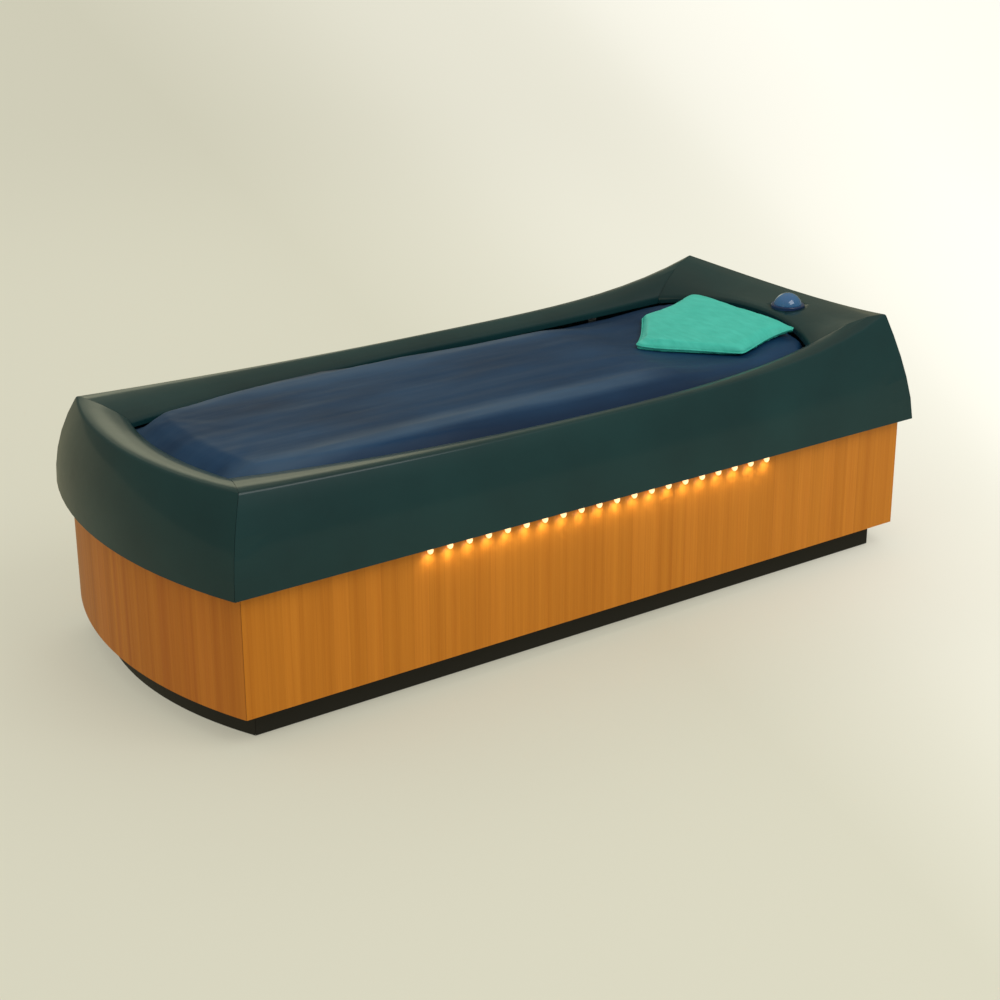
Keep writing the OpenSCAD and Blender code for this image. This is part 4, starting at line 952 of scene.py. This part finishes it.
def bellows(name, place, z_range, radii, wall, folds):
    bottom, top = z_range
    outer, inner = radii
    rings = 2 * folds
    deselect()
    bpy.ops.mesh.primitive_cylinder_add(vertices=AROUND, radius=outer, depth=top - bottom,
                                        end_fill_type="NOTHING", location=(0, 0, 0))
    piece = bpy.context.object
    piece.name = name
    bpy.ops.object.mode_set(mode="EDIT")
    bpy.ops.mesh.select_all(action="DESELECT")
    bpy.ops.object.mode_set(mode="OBJECT")
    for edge in piece.data.edges:
        a, b = (piece.data.vertices[i].co for i in edge.vertices)
        edge.select = abs(a.z - b.z) > 0.001
    bpy.ops.object.mode_set(mode="EDIT")
    bpy.ops.mesh.select_mode(type="EDGE")
    bpy.ops.mesh.subdivide(number_cuts=rings - 1)
    bpy.ops.object.mode_set(mode="OBJECT")
    step = (top - bottom) / rings
    for v in piece.data.vertices:
        ring = round((v.co.z + (top - bottom) / 2) / step)
        share = (inner if ring % 2 == 0 else outer) / math.hypot(v.co.x, v.co.y)
        v.co = Vector((v.co.x * share + place[0], v.co.y * share + place[1], v.co.z + (bottom + top) / 2))
    skin = piece.modifiers.new("wall", "SOLIDIFY")
    skin.thickness = wall
    skin.offset = -1
    bpy.ops.object.modifier_apply(modifier="wall")
    refine()
    piece.data.materials.append(rubber_finish.material)
    return piece


for number, x in enumerate(LIFT_BELLOWS_X):
    lift = bellows(f"lift_bellows_{number + 1}", (x, 0), LIFT_BELLOWS_Z, LIFT_RADII, LIFT_WALL, LIFT_FOLDS)
    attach(lift, "bed")
    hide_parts("lift_bellows")
    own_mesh(lift)
pump_sleeve = bellows("dome_bellows_sleeve", DOME_PLACE, DOME_BELLOWS_Z, DOME_RADII, DOME_WALL, DOME_FOLDS)
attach(pump_sleeve, "bed")
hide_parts("dome_bellows")
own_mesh(pump_sleeve)
print("bellows: two of", LIFT_FOLDS, "folds and one of", DOME_FOLDS, "folds")

# %% [markdown]
# ## The studio
# The bed stands on a plain cream floor that brightens towards the right of the picture, as in the
# photograph. A lamp could make that slope, but it would light the bed as well, so the floor itself glows a
# little: its share of brightness comes from how far to the right a point lies, divided by how far off it
# is. Light Path lets the floor show darker in the gloss of the bed than it does to the camera. The floor
# keeps the bed's shadow.

# %% Floor
FLOOR_SIZE = 80
# Each is a plane over the floor: a factor for X, a factor for Y, and a start
TO_THE_RIGHT = (0.94, -0.30, -0.30)
HOW_FAR_OFF = (0.54, 0.76, 5.55)
NEAREST = 3.0
BRIGHTEST_AT = 0.333
BRIGHTNESS_CURVE = ((0.21, 0.19), (0.42, 0.4), (0.6, 0.5), (0.81, 0.84))

bpy.ops.mesh.primitive_plane_add(size=FLOOR_SIZE, location=(0, 0, 0))
floor = bpy.context.object
floor.name = "studio_floor"


def studio_floor():
    """Cream paper that brightens to the right of the picture, and is dimmer in the gloss of the bed."""
    f = Finish("studio_cream", paint(214, 209, 186), 0.95, Specular_IOR_Level=0.1)
    floor_x, floor_y = f.split(f.place)[:2]

    def plane(by_x, by_y, start):
        along_x, along_y = f.math("MULTIPLY", floor_x, by_x), f.math("MULTIPLY", floor_y, by_y)
        return f.math("ADD", f.math("ADD", along_x, along_y), start)

    share = f.node("ShaderNodeFloatCurve")
    points = share.mapping.curves[0].points
    points[0].location, points[1].location = (0.0, 0.03), (1.0, 1.0)
    for place, value in BRIGHTNESS_CURVE:
        points.new(place, value)
    share.mapping.update()
    slope = f.node("ShaderNodeMapRange")
    slope.inputs["From Max"].default_value = BRIGHTEST_AT
    far_off = f.math("MAXIMUM", plane(*HOW_FAR_OFF), NEAREST)
    f.link(f.math("DIVIDE", plane(*TO_THE_RIGHT), far_off), slope.inputs["Value"])
    f.link(slope.outputs["Result"], share.inputs["Value"])
    bright = share.outputs["Value"]
    f.colour(f.mix(bright, paint(165, 164, 149), paint(200, 200, 197)))
    glow_colour = f.mix(bright, paint(254, 251, 228), paint(255, 253, 242))
    f.link(glow_colour, f.shader.inputs["Emission Color"])
    glow = f.math("ADD", f.math("MULTIPLY", bright, 0.24), 0.3)
    f.link(glow, f.shader.inputs["Emission Strength"])
    dim = f.node("ShaderNodeEmission")
    dim.inputs["Color"].default_value = paint(164, 158, 128)
    in_gloss = f.node("ShaderNodeLightPath").outputs["Is Glossy Ray"]
    seen = f.choose(in_gloss, f.shader.outputs["BSDF"], dim.outputs["Emission"])
    f.link(seen, f.tree.nodes["Material Output"].inputs["Surface"])
    return f


floor.data.materials.append(studio_floor().material)
print("floor:", FLOOR_SIZE, "m square")

# %% [markdown]
# ## The world
# The world lights the bed softly from all round. A picture of a room could do that, but here three things
# have to differ: what lights the bed, what the camera sees behind it, and what its shiny surfaces reflect.
# Light Path tells them apart. The reflections are drawn with ramps over the height of the sky. Behind the
# bed they have a bright band a little above the horizon, which gives the foot rim and the membrane their
# pale sheen, and elsewhere they stay dim.

# %% World
CREAM, AMBER = (1.0, 0.96, 0.66), (1.0, 0.62, 0.34)
# A direction over the bed's far side: the bright part of the sky lies 60 to 68 degrees round from it
SKY_AXIS = (-0.6, 0.8, 0.0)
# Each band is a height, from 0 at the horizon to 1 straight up, a strength and a tint
DIM_BANDS = ((0.0, 0.18, CREAM), (0.25, 0.2, CREAM), (0.6, 0.25, CREAM), (0.8, 0.42, AMBER))
BRIGHT_BANDS = ((0.0, 0.7, CREAM), (0.1, 0.8, CREAM), (0.16, 1.2, CREAM), (0.27, 1.2, CREAM),
                (0.34, 0.35, CREAM), (0.6, 0.25, CREAM), (0.8, 0.4, AMBER))
# How much of the bright sky shows, by the cosine of the angle from that direction
BRIGHT_SHARES = ((0.24, 0.0), (0.34, 0.25), (0.37, 1.0), (0.5, 1.0), (0.62, 0.0))

world = bpy.data.worlds.new("studio_world")
world.use_nodes = True
bpy.context.scene.world = world
sky = Network(world.node_tree)
direction = sky.node("ShaderNodeTexCoord").outputs["Generated"]
height = sky.split(direction)["Z"]


def gloss_profile(bands):
    """What a shiny surface sees, from the horizon to straight up."""
    return sky.ramp(height, *(
        (position, (*(strength * part for part in tint), 1)) for position, strength, tint in bands
    ))


def plain_sky(colour):
    made = sky.node("ShaderNodeBackground")
    made.inputs["Color"].default_value = colour
    return made


toward = sky.node("ShaderNodeVectorMath", operation="DOT_PRODUCT")
toward.inputs[1].default_value = SKY_AXIS
sky.link(direction, toward.inputs[0])
back_share = sky.ramp(toward.outputs["Value"], *(
    (position, (share, share, share, 1)) for position, share in BRIGHT_SHARES
))
in_gloss = plain_sky(WHITE)
gloss = sky.mix(back_share, gloss_profile(DIM_BANDS), gloss_profile(BRIGHT_BANDS))
sky.link(gloss, in_gloss.inputs["Color"])
lighting = sky.tree.nodes["Background"]
lighting.inputs["Color"].default_value = paint(236, 234, 226)
lighting.inputs["Strength"].default_value = 1.0
path = sky.node("ShaderNodeLightPath")
lit = sky.choose(path.outputs["Is Glossy Ray"], lighting.outputs[0], in_gloss.outputs[0])
seen = sky.choose(path.outputs["Is Camera Ray"], lit, plain_sky(paint(232, 229, 212)).outputs[0])
sky.link(seen, sky.tree.nodes["World Output"].inputs["Surface"])
bpy.context.scene.view_settings.view_transform = "Standard"
print("world:", len(sky.tree.nodes), "nodes")

# %% [markdown]
# ## Two soft lights
# A large light over the near side gives the wood and the casing their form, and a weaker one from behind
# lifts the far edge. A sun would draw hard shadows, which the photograph doesn't have, so both are area
# lights. The one behind is hidden from reflections, or it would show as a white patch on the casing.

# %% Soft lights
AIM = (0, 0, 0.4)


def soft_light(name, place, size, power):
    bpy.ops.object.light_add(type="AREA", location=place)
    light = bpy.context.object
    light.name = name
    light.data.shape = "RECTANGLE"
    light.data.size, light.data.size_y = size
    light.data.energy = power
    light.rotation_euler = (Vector(AIM) - Vector(place)).to_track_quat("-Z", "Y").to_euler()
    print("soft light:", name, power, "W")
    return light


soft_light("key", (0.8, -3.4, 4.2), (3.2, 2.4), 70)
back_light = soft_light("back", (1.5, 3.5, 3.8), (3.0, 2.0), 24)
back_light.visible_glossy = False

# %% [markdown]
# ## The small lamps under the casing
# Twenty little lamps on each side shine down the wood from under the casing's lower edge. A glowing lens
# alone would light the wood with much noise in the render. So each lens gets a frosted drop that glows,
# and a small warm spot lamp in front of it throws the bright spot and the streak on the veneer.

# %% Lamp light
LAMP_PITCH = 0.057
LAMP_COUNT = 20
BULB_RADIUS = 0.0078
BULB_STRETCH = 1.3
BULB_Y, BULB_Z = 0.4595, 0.3795
SPOT_Y, SPOT_Z = 0.470, 0.362
SPOT_POWER = 0.065
SPOT_COLOUR = (1.0, 0.9, 0.84)
SPOT_CONE = 150
SPOT_TILT = -50
SPOT_RADIUS = 0.005


def bulb(place):
    """A frosted drop that hangs out of its lens."""
    deselect()
    bpy.ops.mesh.primitive_uv_sphere_add(segments=20, ring_count=12, radius=BULB_RADIUS, location=(0, 0, 0))
    piece = bpy.context.object
    bpy.ops.object.mode_set(mode="EDIT")
    bpy.ops.transform.resize(value=(1, 1, BULB_STRETCH))
    bpy.ops.transform.translate(value=place)
    bpy.ops.object.mode_set(mode="OBJECT")
    bpy.ops.object.shade_smooth()
    piece.data.materials.append(lens_finish.material)
    return piece


def spot_light(name, place, tilt):
    """A spot lamp that shines down and in, onto the wood."""
    bpy.ops.object.light_add(type="SPOT", location=place)
    spot = bpy.context.object
    spot.name = name
    spot.data.energy = SPOT_POWER
    spot.data.color = SPOT_COLOUR
    spot.data.spot_size = math.radians(SPOT_CONE)
    spot.data.spot_blend = 1.0
    spot.data.shadow_soft_size = SPOT_RADIUS
    spot.rotation_euler = (math.radians(tilt), 0, 0)


bulbs = []
for side in (-1, 1):
    for number in range(LAMP_COUNT):
        along = (number - (LAMP_COUNT - 1) / 2) * LAMP_PITCH
        bulbs.append(bulb((along, side * BULB_Y, BULB_Z)))
        spot_light(f"lamp_light_{side}_{number}", (along, side * SPOT_Y, SPOT_Z), side * SPOT_TILT)
select_only(bulbs[0])
for piece in bulbs:
    piece.select_set(True)
bpy.ops.object.join()
bulbs[0].name = "lamp_bulbs"
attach(bulbs[0], body_of_node("lamps"))
print("lamp lights:", 2 * LAMP_COUNT)
